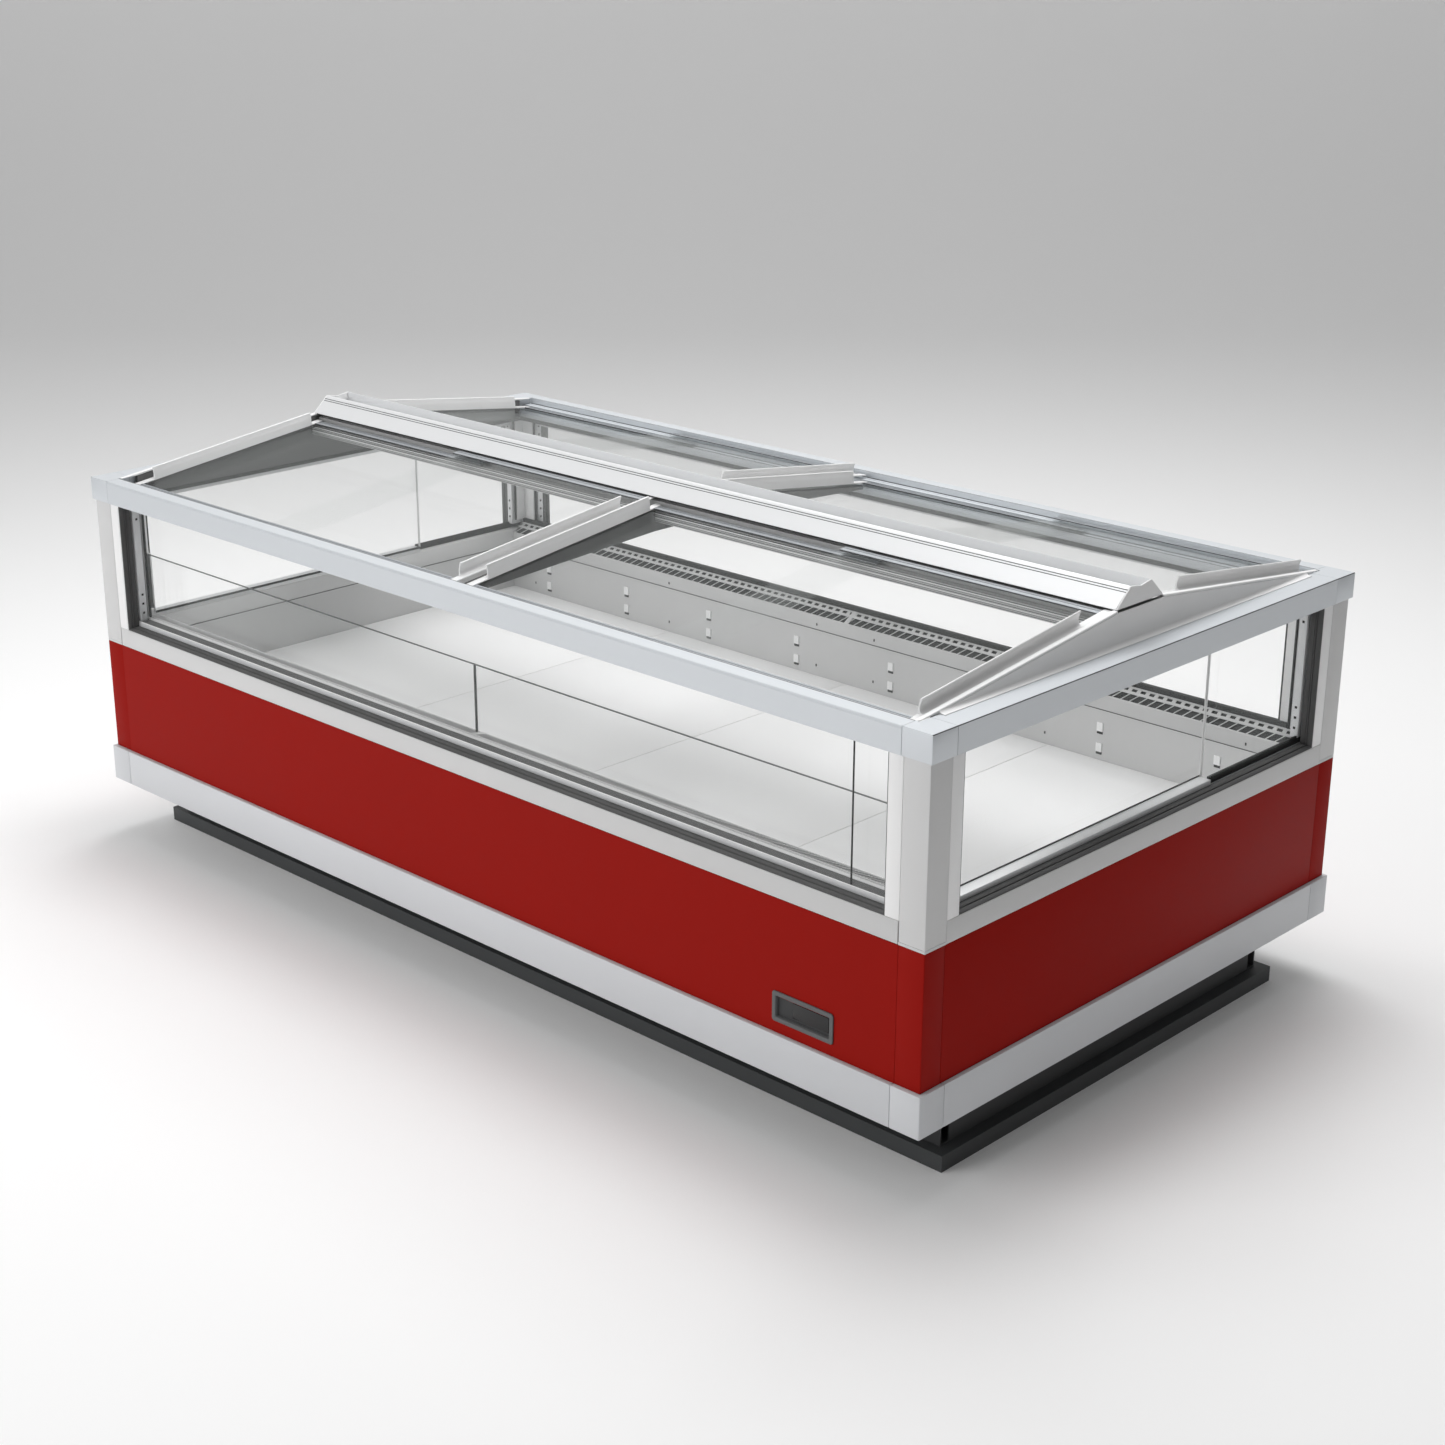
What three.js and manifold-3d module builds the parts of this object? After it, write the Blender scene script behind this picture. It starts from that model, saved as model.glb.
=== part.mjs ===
// Island chest freezer for a shop floor: an insulated well on a plinth, glazed all round, under a
// shallow gabled roof of sliding glass lids. Millimetres, +Z up, +X along the length, -Y the display
// side; the origin is the middle of the footprint on the floor.
import * as THREE from 'three';
import { mergeVertices } from 'three/addons/utils/BufferGeometryUtils.js';
import Module from 'manifold-3d';

const wasm = await Module();
wasm.setup();

// ---- driving dimensions -------------------------------------------------------------------------
const GAP = 0.3; // air left between neighbouring pieces

// half sizes, along X and along Y, of the rings that are stacked into the body
const PLINTH = { x: 1207, y: 547, top: 33 };
const KICK = { x: 1182, y: 522, top: 132.7, sheet: 3, flange: 25 };
const BUMPER = { x: 1252, y: 671.7, bottom: 132.7, top: 216.4, corner: 1184, round: 9 };
const BODY = { x: 1244, y: 662.6, top: 480, corner: 1186 }; // outer skin: panels, sills and posts
const TUB = { x: 1237.5, y: 657.5, bottom: 133, top: 485.7 };
const WELL = { x: 1190, y: 560, deck: 370, ledge: 20, floor: 200 };
const BEAM = { x: 1250, y: 668, bottom: 823.6, top: 875.8, corner: 1184, endWidth: 57.7 };

// window frames and glass; depths are counted inwards from the outer skin
const POST = 58;
const TRIM = { width: 33, depth: 26.4 };
const SILL = { bottom: 480.8, top: 524, shelf: 527.7 };
const LIP = { depth: 66, front: 541, back: 552 };
const PANE = { outer: 27, inner: 54, thick: 5, spacer: 12, bottom: 528, top: 823.3 };
const RISER = { y: 578, thick: 6, bottom: 543, top: 688, end: 1180 };
// the front grille lies flatter than the back one
const GRILLE = { foot: { front: 535, back: 519 }, out: 595.7, top: 542, sheet: 2 };

// roof; the lids of one bay run at two levels, the left one below the right one
const SLOPE = 0.1287;
const ROOF_AT = 600; // the half depth at which the flanges of the upper lids are at ROOF_Z
const ROOF_Z = 872;
const LEVEL_DROP = 12;
const GLASS = { thick: 4, below: 6.5 };
const BAY = { inner: 3, outer: 1177, lid: 634.5 };
const UPPER = { eave: 626, ridge: 52, finEave: 597, finRidge: 155 };
const LOWER = { eave: 606, ridge: 70, finEave: 555, finRidge: 103 };
const HANDLE = { width: 17.5, flange: 2.5, height: 30.5, wall: 3, lip: 2.5, lean: 5 };
const TRACK = { eave: 632, mid: 609, fascia: 590, upper: 861.5, lower: 851.8 };
const GABLE = { inner: 1179, outer: 1191, toe: 1204, low: 824.3, notch: 588, eave: 630, peak: 943.6 };
const RIDGE = { base: 73.5, bottom: 943.9, shoulder: 33.5, top: 980.4, trough: 30, floor: 950, end: 1188 };
const RAIL = { base: 88, waist: 66, neck: 38, bottom: 895, lower: 918.5, upper: 933.4, top: 943.5 };
const RAFTER = { half: 20, depth: 9, below: 19.5, neck: 88.3, neckTop: 894.7, neckBottom: 874 };

// temperature display in the front panel
const DISPLAY = { x: [900, 1046], z: [240, 300], open: { x: [909, 1031], z: [251, 285] }, proud: 3.4 };

// cold side, under the deck
const FAN = { x: 150, z: 282, hole: 66, tip: 61, hub: 17, blades: 5, half: 13 };
const COIL = { x: [-900, -120], y: 430, z: [212, 340], fins: 27, fin: 3, rebate: 14, tubes: 4, tube: 12 };
const COIL_BEND = 15; // how far the tubes stand out of the fins

// ---- finishes -----------------------------------------------------------------------------------
const finish = {
  red: [0x87180f, 0.35, 0.0],
  aluminium: [0xc8cbce, 0.35, 0.9],
  white: [0xdcdfe0, 0.5, 0.0],
  bumper: [0xcfd2d4, 0.45, 0.0],
  dark: [0x3c3d3f, 0.7, 0.0],
  grey: [0x8f9294, 0.5, 0.2],
  glass: [0xbfd0cf, 0.05, 0.0],
  screen: [0x101418, 0.2, 0.0],
  steel: [0xa9adb0, 0.4, 0.8],
};

// ---- making solids ------------------------------------------------------------------------------
function toManifold(geometry) {
  const bare = geometry.clone();
  bare.deleteAttribute('normal');
  bare.deleteAttribute('uv');
  const merged = mergeVertices(bare, 1e-4);
  const vertProperties = new Float32Array(merged.attributes.position.array);
  const triVerts = new Uint32Array(merged.index.array);
  return new wasm.Manifold(new wasm.Mesh({ numProp: 3, vertProperties, triVerts }));
}

function toGeometry(manifold) {
  const mesh = manifold.getMesh();
  const geometry = new THREE.BufferGeometry();
  geometry.setAttribute('position', new THREE.BufferAttribute(new Float32Array(mesh.vertProperties), 3));
  geometry.setIndex(new THREE.BufferAttribute(new Uint32Array(mesh.triVerts), 1));
  geometry.computeVertexNormals();
  return geometry;
}

function box(x, y, z) {
  const geometry = new THREE.BoxGeometry(x[1] - x[0], y[1] - y[0], z[1] - z[0]);
  geometry.translate((x[0] + x[1]) / 2, (y[0] + y[1]) / 2, (z[0] + z[1]) / 2);
  return toManifold(geometry);
}

function extruded(points, depth) {
  const shape = new THREE.Shape(points.map(([u, v]) => new THREE.Vector2(u, v)));
  return new THREE.ExtrudeGeometry(shape, { depth, bevelEnabled: false });
}

// an outline in (y, z) that runs from x0 to x1
function alongX(points, x0, x1) {
  const geometry = extruded(points, x1 - x0);
  const turn = new THREE.Matrix4().makeBasis(
    new THREE.Vector3(0, 1, 0),
    new THREE.Vector3(0, 0, 1),
    new THREE.Vector3(1, 0, 0),
  );
  geometry.applyMatrix4(turn);
  geometry.translate(x0, 0, 0);
  return toManifold(geometry);
}

// an outline in (x, z) that runs from y0 to y1
function alongY(points, y0, y1) {
  const geometry = extruded(points, y1 - y0);
  geometry.rotateX(Math.PI / 2);
  geometry.translate(0, y1, 0);
  return toManifold(geometry);
}

// an outline in (x, y) that rises from z0 to z1
function alongZ(points, z0, z1) {
  const geometry = extruded(points, z1 - z0);
  geometry.translate(0, 0, z0);
  return toManifold(geometry);
}

function roundX(radius, x0, x1, y, z, sides = 24) {
  const geometry = new THREE.CylinderGeometry(radius, radius, x1 - x0, sides);
  geometry.rotateZ(Math.PI / 2);
  geometry.translate((x0 + x1) / 2, y, z);
  return toManifold(geometry);
}

function mirrored(points, sign) {
  return points.map(([u, v]) => [sign * u, v]);
}

function union(parts) {
  return parts.reduce((whole, part) => whole.add(part));
}

const freezer = new THREE.Group();

function addPiece(name, look, manifold) {
  const [color, roughness, metalness] = finish[look];
  const material = new THREE.MeshStandardMaterial({ color, roughness, metalness });
  if (look === 'glass') {
    material.transparent = true;
    material.opacity = 0.35;
  }
  const mesh = new THREE.Mesh(toGeometry(manifold), material);
  mesh.name = name;
  freezer.add(mesh);
}

// sign -1 is the front or the left, +1 the back or the right
const LONG_SIDES = [['front', -1], ['back', 1]];
const END_SIDES = [['left', -1], ['right', 1]];

// ---- plinth and kickboards ----------------------------------------------------------------------
const trayOuter = box([-PLINTH.x, PLINTH.x], [-PLINTH.y, PLINTH.y], [0, PLINTH.top]);
const trayInner = box(
  [KICK.sheet - PLINTH.x, PLINTH.x - KICK.sheet],
  [KICK.sheet - PLINTH.y, PLINTH.y - KICK.sheet],
  [KICK.sheet, PLINTH.top + 1],
);
const traySeat = KICK.flange + KICK.sheet + 2; // width of the rim that the kickboards stand on
const rimOuter = box(
  [-PLINTH.x, PLINTH.x],
  [-PLINTH.y, PLINTH.y],
  [PLINTH.top - KICK.sheet, PLINTH.top],
);
const rimHole = box(
  [traySeat + KICK.flange - PLINTH.x, PLINTH.x - traySeat - KICK.flange],
  [traySeat + KICK.flange - PLINTH.y, PLINTH.y - traySeat - KICK.flange],
  [0, PLINTH.top + 1],
);
addPiece('base_tray', 'dark', trayOuter.subtract(trayInner).add(rimOuter.subtract(rimHole)));

// a channel with its web outside and its two flanges pointing inwards
function channel(outer, z0, z1) {
  const { sheet, flange } = KICK;
  return [
    [outer, z0],
    [outer, z1],
    [outer - flange, z1],
    [outer - flange, z1 - sheet],
    [outer - sheet, z1 - sheet],
    [outer - sheet, z0 + sheet],
    [outer - flange, z0 + sheet],
    [outer - flange, z0],
  ];
}
const kickLow = PLINTH.top + GAP;
for (const [side, sign] of LONG_SIDES) {
  const outline = mirrored(channel(KICK.y, kickLow, KICK.top), sign);
  addPiece(`kickboard_${side}`, 'dark', alongX(outline, -KICK.x, KICK.x));
}
for (const [side, sign] of END_SIDES) {
  const outline = mirrored(channel(KICK.x, kickLow, KICK.top), sign);
  const reach = KICK.y - KICK.flange - GAP;
  addPiece(`kickboard_${side}`, 'dark', alongY(outline, -reach, reach));
}

// ---- bumper and panels --------------------------------------------------------------------------
// the end pieces wrap round the corners, so their plan is a wide C
function wrappedEnd(outerX, outerY, innerX, innerY, corner, round) {
  const steps = 4;
  const arc = [];
  for (let i = 0; i <= steps; i += 1) {
    const angle = (i / steps) * (Math.PI / 2);
    arc.push([outerX - round + round * Math.sin(angle), outerY - round + round * Math.cos(angle)]);
  }
  const lowerArc = arc.map(([u, v]) => [u, -v]).reverse();
  return [
    [corner, outerY],
    ...arc,
    ...lowerArc,
    [corner, -outerY],
    [corner, -innerY],
    [innerX, -innerY],
    [innerX, innerY],
    [corner, innerY],
  ];
}

const bumperInner = { x: TUB.x + GAP, y: TUB.y + GAP };
for (const [side, sign] of LONG_SIDES) {
  const bevel = 4;
  const outline = mirrored(
    [
      [bumperInner.y, BUMPER.bottom],
      [BUMPER.y - bevel, BUMPER.bottom],
      [BUMPER.y, BUMPER.bottom + bevel],
      [BUMPER.y, BUMPER.top - bevel],
      [BUMPER.y - bevel, BUMPER.top],
      [bumperInner.y, BUMPER.top],
    ],
    sign,
  );
  addPiece(`bumper_${side}`, 'bumper', alongX(outline, -BUMPER.corner, BUMPER.corner));
}
for (const [side, sign] of END_SIDES) {
  const { x, y, corner, round, bottom, top } = BUMPER;
  const plan = wrappedEnd(x, y, bumperInner.x, bumperInner.y, corner + GAP, round);
  addPiece(`bumper_${side}`, 'bumper', alongZ(mirrored(plan, sign), bottom, top));
}

const panelLow = BUMPER.top + GAP;
const [openX, openZ] = [DISPLAY.open.x, DISPLAY.open.z];
const collar = 4; // wall of the display's sleeve in the panel
for (const [side, sign] of LONG_SIDES) {
  const y = [sign * bumperInner.y, sign * BODY.y].sort((a, b) => a - b);
  let panel = box([GAP - BODY.corner, BODY.corner - GAP], y, [panelLow, BODY.top]);
  if (side === 'front') {
    const hole = box(
      [openX[0] - collar - GAP, openX[1] + collar + GAP],
      [y[0] - 1, y[1] + 1],
      [openZ[0] - collar - GAP, openZ[1] + collar + GAP],
    );
    panel = panel.subtract(hole);
  }
  addPiece(`panel_${side}`, 'red', panel);
}
for (const [side, sign] of END_SIDES) {
  const plan = wrappedEnd(BODY.x, BODY.y, bumperInner.x, bumperInner.y, BODY.corner, 3);
  addPiece(`panel_${side}`, 'red', alongZ(mirrored(plan, sign), panelLow, BODY.top));
}

// ---- temperature display ------------------------------------------------------------------------
const opening = box(openX, [-BODY.y - 10, -bumperInner.y + 10], openZ);
const faceplate = box(DISPLAY.x, [-BODY.y - DISPLAY.proud, -BODY.y - GAP], DISPLAY.z);
const sleeve = box(
  [openX[0] - collar, openX[1] + collar],
  [-BODY.y - 1, -bumperInner.y],
  [openZ[0] - collar, openZ[1] + collar],
);
addPiece('display_bezel', 'dark', faceplate.add(sleeve).subtract(opening));
addPiece(
  'display_window',
  'screen',
  box(
    [openX[0] + GAP, openX[1] - GAP],
    [-BODY.y + 1, -bumperInner.y],
    [openZ[0] + GAP, openZ[1] - GAP],
  ),
);

// ---- insulated tub, deck and cold side ----------------------------------------------------------
const tubBlock = box([-TUB.x, TUB.x], [-TUB.y, TUB.y], [TUB.bottom, TUB.top]);
const wellUpper = box([-WELL.x, WELL.x], [-WELL.y, WELL.y], [WELL.deck - 5, TUB.top + 1]);
const wellLower = box(
  [WELL.ledge - WELL.x, WELL.x - WELL.ledge],
  [WELL.ledge - WELL.y, WELL.y - WELL.ledge],
  [WELL.floor, TUB.top],
);
addPiece('tub', 'white', tubBlock.subtract(wellUpper).subtract(wellLower));
addPiece(
  'deck',
  'white',
  box([GAP - WELL.x, WELL.x - GAP], [GAP - WELL.y, WELL.y - GAP], [WELL.deck - 5 + GAP, WELL.deck]),
);

// the fins are so close that they are one block, with their edges standing above and below it
const coilCore = [COIL.z[0] + COIL.rebate, COIL.z[1] - COIL.rebate];
const coilPieces = [box(COIL.x, [-COIL.y, COIL.y], coilCore)];
for (let i = 0; i < COIL.fins; i += 1) {
  const x = COIL.x[0] + (i / (COIL.fins - 1)) * (COIL.x[1] - COIL.x[0] - COIL.fin);
  coilPieces.push(box([x, x + COIL.fin], [-COIL.y, COIL.y], COIL.z));
}
const tubeZ = (COIL.z[0] + COIL.z[1]) / 2;
for (let i = 0; i < COIL.tubes; i += 1) {
  const y = -COIL.y + ((i + 0.5) / COIL.tubes) * 2 * COIL.y;
  coilPieces.push(roundX(COIL.tube / 2, COIL.x[0] - COIL_BEND, COIL.x[1] + COIL_BEND, y, tubeZ, 12));
}
addPiece('evaporator', 'aluminium', union(coilPieces));

const fanPlateHalf = 230;
const motorArm = 5;
const fanPlate = box(
  [FAN.x, FAN.x + KICK.sheet],
  [-fanPlateHalf, fanPlateHalf],
  [WELL.floor + 2, WELL.deck - 10],
).subtract(roundX(FAN.hole, FAN.x - 1, FAN.x + KICK.sheet + 1, 0, FAN.z));
const motorBack = FAN.x + FAN.half + GAP * 3;
const motor = roundX(FAN.hub + 8, motorBack, motorBack + 40, 0, FAN.z);
const strut = box(
  [motorBack + 10, motorBack + 10 + motorArm],
  [-FAN.hole - 12, FAN.hole + 12],
  [FAN.z - motorArm, FAN.z + motorArm],
);
const feet = [-1, 1].map((sign) => {
  const y = [sign * (FAN.hole + 4), sign * (FAN.hole + 12)].sort((a, b) => a - b);
  return box([FAN.x, motorBack + 10 + motorArm], y, [FAN.z - motorArm, FAN.z + motorArm]);
});
addPiece('fan_plate', 'steel', union([fanPlate, motor, strut, ...feet]));

const fanPieces = [roundX(FAN.hub, FAN.x - FAN.half, FAN.x + FAN.half, 0, FAN.z)];
for (let i = 0; i < FAN.blades; i += 1) {
  const blade = new THREE.BoxGeometry(2, 34, FAN.tip - FAN.hub + 6);
  blade.rotateZ(0.6);
  blade.translate(0, 0, (FAN.tip + FAN.hub) / 2 - 3);
  blade.rotateX((i / FAN.blades) * 2 * Math.PI);
  blade.translate(FAN.x, 0, FAN.z);
  fanPieces.push(toManifold(blade));
}
addPiece('fan_rotor', 'dark', union(fanPieces));

// ---- sills, posts and glazing -------------------------------------------------------------------
// outlines here are given as (depth from the outer skin, z) and turned outwards
function fromSkin(half, sign, points) {
  return points.map(([depth, z]) => [sign * (half - depth), z]);
}

const tubInset = BODY.y - TUB.y - GAP; // the sill's skin hangs in front of the tub's rim
const tubInsetX = BODY.x - TUB.x - GAP;
const seat = TUB.top + GAP;

function sillOutline(inset, depth, lipTop) {
  const paneSeat = PANE.outer - GAP;
  const outline = [
    [0, SILL.bottom],
    [0, SILL.top],
    [paneSeat, SILL.top],
    [paneSeat, SILL.shelf],
  ];
  if (lipTop) {
    outline.push([PANE.inner + GAP, SILL.shelf], [PANE.inner + GAP, lipTop], [depth, lipTop]);
  } else {
    outline.push([depth, SILL.shelf]);
  }
  outline.push([depth, seat], [inset, seat], [inset, SILL.bottom]);
  return outline;
}
const postInner = { x: BODY.x - POST, y: BODY.y - POST };
for (const [side, sign] of LONG_SIDES) {
  const outline = fromSkin(BODY.y, sign, sillOutline(tubInset, LIP.depth, LIP[side]));
  const reach = postInner.x - GAP;
  addPiece(`sill_${side}`, 'white', alongX(outline, -reach, reach));
}
for (const [side, sign] of END_SIDES) {
  const outline = fromSkin(BODY.x, sign, sillOutline(tubInsetX, PANE.inner, 0));
  const reach = postInner.y - GAP;
  addPiece(`sill_${side}`, 'white', alongY(outline, -reach, reach));
}

const tubRoom = box([-TUB.x - GAP, TUB.x + GAP], [-TUB.y - GAP, TUB.y + GAP], [0, seat]);
for (const [sideY, signY] of LONG_SIDES) {
  for (const [sideX, signX] of END_SIDES) {
    const rise = [SILL.top + GAP, PANE.top];
    const corner = box([postInner.x, BODY.x], [postInner.y, BODY.y], [SILL.bottom, PANE.top]);
    const wingX = box([postInner.x - TRIM.width, BODY.x - 1], [BODY.y - TRIM.depth, BODY.y], rise);
    const wingY = box([BODY.x - TRIM.depth, BODY.x], [postInner.y - TRIM.width, BODY.y - 1], rise);
    const post = union([corner, wingX, wingY]).subtract(tubRoom);
    const placed = post.scale([signX, signY, 1]);
    addPiece(`post_${sideY}_${sideX}`, 'white', placed);
  }
}

const paneOutline = [
  [PANE.outer, PANE.bottom],
  [PANE.outer, PANE.top],
  [PANE.outer + PANE.thick, PANE.top],
  [PANE.outer + PANE.thick, PANE.bottom + PANE.spacer],
  [PANE.inner - PANE.thick, PANE.bottom + PANE.spacer],
  [PANE.inner - PANE.thick, PANE.top],
  [PANE.inner, PANE.top],
  [PANE.inner, PANE.bottom],
];
for (const [side, sign] of LONG_SIDES) {
  const reach = postInner.x - GAP;
  addPiece(`glazing_${side}`, 'glass', alongX(fromSkin(BODY.y, sign, paneOutline), -reach, reach));
}
for (const [side, sign] of END_SIDES) {
  const reach = postInner.y - GAP;
  addPiece(`glazing_${side}`, 'glass', alongY(fromSkin(BODY.x, sign, paneOutline), -reach, reach));
}
addPiece(
  'riser_glass',
  'glass',
  box(
    [-RISER.end, RISER.end],
    [-RISER.y - RISER.thick, -RISER.y],
    [RISER.bottom, RISER.top],
  ),
);

// bent sheet along the top of each long wall: a plain band, then an incline that blows the cold air
for (const [side, sign] of LONG_SIDES) {
  const foot = GRILLE.foot[side];
  const fall = (GRILLE.top - foot) / (GRILLE.out - WELL.y);
  const under = GRILLE.sheet * Math.hypot(1, fall); // the sheet's thickness, measured straight down
  const outline = mirrored(
    [
      [WELL.y, seat],
      [WELL.y, foot],
      [GRILLE.out, GRILLE.top],
      [GRILLE.out, GRILLE.top - under],
      [WELL.y + GRILLE.sheet, foot + GRILLE.sheet * fall - under],
      [WELL.y + GRILLE.sheet, seat],
    ],
    sign,
  );
  addPiece(`air_grille_${side}`, 'white', alongX(outline, GAP - WELL.x, WELL.x - GAP));
}

// ---- top beams, with the steps that the lids slide on -------------------------------------------
for (const [side, sign] of LONG_SIDES) {
  const outline = mirrored(
    [
      [BEAM.y, BEAM.bottom],
      [BEAM.y, BEAM.top],
      [TRACK.eave, BEAM.top],
      [TRACK.eave, TRACK.upper],
      [TRACK.mid, TRACK.upper],
      [TRACK.mid, TRACK.lower],
      [TRACK.fascia, TRACK.lower],
      [TRACK.fascia, BEAM.bottom],
    ],
    sign,
  );
  addPiece(`beam_${side}`, 'aluminium', alongX(outline, -BEAM.corner, BEAM.corner));
}
for (const [side, sign] of END_SIDES) {
  const plan = wrappedEnd(
    BEAM.x,
    BEAM.y,
    BEAM.x - BEAM.endWidth,
    TRACK.eave,
    BEAM.corner + GAP,
    4,
  );
  addPiece(`beam_${side}`, 'aluminium', alongZ(mirrored(plan, sign), BEAM.bottom, BEAM.top));
}

// ---- gables, rafter and ridge -------------------------------------------------------------------
const bothSides = (half) => [...half, ...half.map(([y, z]) => [-y, z]).reverse()];
const seatTop = BEAM.top + GAP;
for (const [side, sign] of END_SIDES) {
  const outline = bothSides([
    [GABLE.notch, GABLE.low],
    [GABLE.notch, seatTop],
    [GABLE.eave, seatTop],
    [RIDGE.base, GABLE.peak],
  ]);
  const plate = alongX(outline, GABLE.inner, GABLE.outer);
  const toe = box([GABLE.inner, GABLE.toe], [-GABLE.notch, GABLE.notch], [seatTop, seatTop + 3]);
  addPiece(`gable_${side}`, 'grey', plate.add(toe).scale([sign, 1, 1]));
}

function roofHeight(y) {
  return ROOF_Z + SLOPE * (ROOF_AT - y);
}

const rafterEave = TRACK.fascia - GAP;
const rafterOutline = bothSides([
  [RAFTER.neck, RAFTER.neckBottom],
  [rafterEave, roofHeight(rafterEave) - RAFTER.below - RAFTER.depth],
  [rafterEave, roofHeight(rafterEave) - RAFTER.below],
  [RAFTER.neck, roofHeight(RAFTER.neck) - RAFTER.below],
  [RAFTER.neck, RAFTER.neckTop],
]);
addPiece('mid_rafter', 'dark', alongX(rafterOutline, -RAFTER.half, RAFTER.half));

const railOutline = bothSides([
  [RAIL.base, RAIL.bottom],
  [RAIL.base, RAIL.lower],
  [RAIL.waist, RAIL.lower],
  [RAIL.waist, RAIL.upper],
  [RAIL.neck, RAIL.upper],
  [RAIL.neck, RAIL.top],
]);
const railEnd = GABLE.inner - GAP;
addPiece('ridge_rail', 'aluminium', alongX(railOutline, -railEnd, railEnd));

const capOutline = bothSides([
  [RIDGE.base, RIDGE.bottom],
  [RIDGE.shoulder, RIDGE.top],
  [RIDGE.trough, RIDGE.top],
  [RIDGE.trough, RIDGE.floor],
]);
const capEndOutline = bothSides([
  [RIDGE.base, RIDGE.bottom],
  [RIDGE.shoulder, RIDGE.top],
]);
const capEnd = RIDGE.end - KICK.sheet;
addPiece(
  'ridge_cap',
  'aluminium',
  union([
    alongX(capOutline, -RIDGE.end, RIDGE.end),
    alongX(capEndOutline, -RIDGE.end, -capEnd),
    alongX(capEndOutline, capEnd, RIDGE.end),
  ]),
);

// ---- sliding lids -------------------------------------------------------------------------------
// profile of the grip: a flange on the glass and a curved fin with a rounded lip, u from the edge
function finOutline() {
  const steps = 5;
  const outer = [];
  const inner = [];
  const foot = HANDLE.flange - 1;
  for (let i = 0; i <= steps; i += 1) {
    const t = i / steps;
    const lean = HANDLE.lean * t * t;
    const h = foot + t * (HANDLE.height - HANDLE.lip - foot);
    inner.push([HANDLE.width - lean, h]);
    outer.push([HANDLE.width - HANDLE.wall - lean, h]);
  }
  const lip = [];
  const centre = [HANDLE.width - HANDLE.wall - HANDLE.lean, HANDLE.height - HANDLE.lip];
  for (let i = 0; i <= 6; i += 1) {
    const angle = (i / 6) * Math.PI;
    lip.push([centre[0] + HANDLE.lip * Math.cos(angle), centre[1] + HANDLE.lip * Math.sin(angle)]);
  }
  lip.push([centre[0] - HANDLE.lip, centre[1] - 2], [centre[0], centre[1] - 3]);
  return { blade: [...inner, ...outer.reverse()], lip };
}

// an outline in (x, height above the glass) that follows the roof from the eave to the ridge
function alongRoof(points, sign, base, eave, ridge) {
  const geometry = extruded(points, eave - ridge);
  geometry.rotateX(Math.PI / 2); // heights to +Z, the run to -Y
  geometry.translate(0, eave, 0); // y from ridge to eave
  const shear = new THREE.Matrix4().set(1, 0, 0, 0, 0, 1, 0, 0, 0, -SLOPE, 1, 0, 0, 0, 0, 1);
  geometry.applyMatrix4(shear);
  geometry.translate(0, 0, base + SLOPE * ROOF_AT);
  return toManifold(geometry).scale([1, sign, 1]);
}

const lids = [
  { start: -BAY.outer, level: 'lower' },
  { start: -BAY.inner - BAY.lid, level: 'upper' },
  { start: BAY.inner, level: 'lower' },
  { start: BAY.outer - BAY.lid, level: 'upper' },
];
const { blade, lip } = finOutline();
for (const [side, sign] of LONG_SIDES) {
  lids.forEach(({ start, level }, index) => {
    const run = level === 'upper' ? UPPER : LOWER;
    const top = ROOF_Z - (level === 'upper' ? 0 : LEVEL_DROP);
    const under = top - GLASS.below;
    const end = start + BAY.lid;
    const pane = [
      [start, 0],
      [end, 0],
      [end, GLASS.thick],
      [start, GLASS.thick],
    ];
    const name = `lid_${side}_${index + 1}`;
    addPiece(`${name}_glass`, 'glass', alongRoof(pane, sign, under, run.eave, run.ridge));

    // the lower lids are pulled from their left edge, the upper ones from their right edge
    const fromEdge = (points) => points.map(([u, h]) => [level === 'upper' ? end - u : start + u, h]);
    const base = under + GLASS.thick + GAP;
    const flange = [
      [0, 0],
      [HANDLE.width, 0],
      [HANDLE.width, HANDLE.flange],
      [0, HANDLE.flange],
    ];
    addPiece(
      `${name}_handle`,
      'white',
      union([
        alongRoof(fromEdge(flange), sign, base, run.eave, run.ridge),
        alongRoof(fromEdge(blade), sign, base, run.finEave, run.finRidge),
        alongRoof(fromEdge(lip), sign, base, run.finEave, run.finRidge),
      ]),
    );
  });
}

export default freezer;
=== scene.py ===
import math

import bmesh
import bpy
from mathutils import Matrix, Vector


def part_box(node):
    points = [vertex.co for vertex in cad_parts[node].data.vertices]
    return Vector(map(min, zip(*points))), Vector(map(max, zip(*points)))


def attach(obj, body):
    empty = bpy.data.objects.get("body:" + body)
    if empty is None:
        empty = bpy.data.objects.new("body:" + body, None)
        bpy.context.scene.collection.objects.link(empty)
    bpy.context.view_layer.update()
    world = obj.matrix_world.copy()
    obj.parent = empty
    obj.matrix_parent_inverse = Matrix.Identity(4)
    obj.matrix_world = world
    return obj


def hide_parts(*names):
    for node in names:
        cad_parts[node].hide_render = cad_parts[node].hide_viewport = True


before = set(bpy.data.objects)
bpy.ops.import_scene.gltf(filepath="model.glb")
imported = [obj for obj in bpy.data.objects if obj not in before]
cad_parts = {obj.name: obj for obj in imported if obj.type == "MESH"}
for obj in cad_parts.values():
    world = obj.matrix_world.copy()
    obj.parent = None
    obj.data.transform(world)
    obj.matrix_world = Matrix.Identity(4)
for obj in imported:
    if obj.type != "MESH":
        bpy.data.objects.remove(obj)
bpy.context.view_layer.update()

MM = 0.001
SCENE = bpy.context.scene
SIDES = (("front", -1), ("back", 1))
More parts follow.
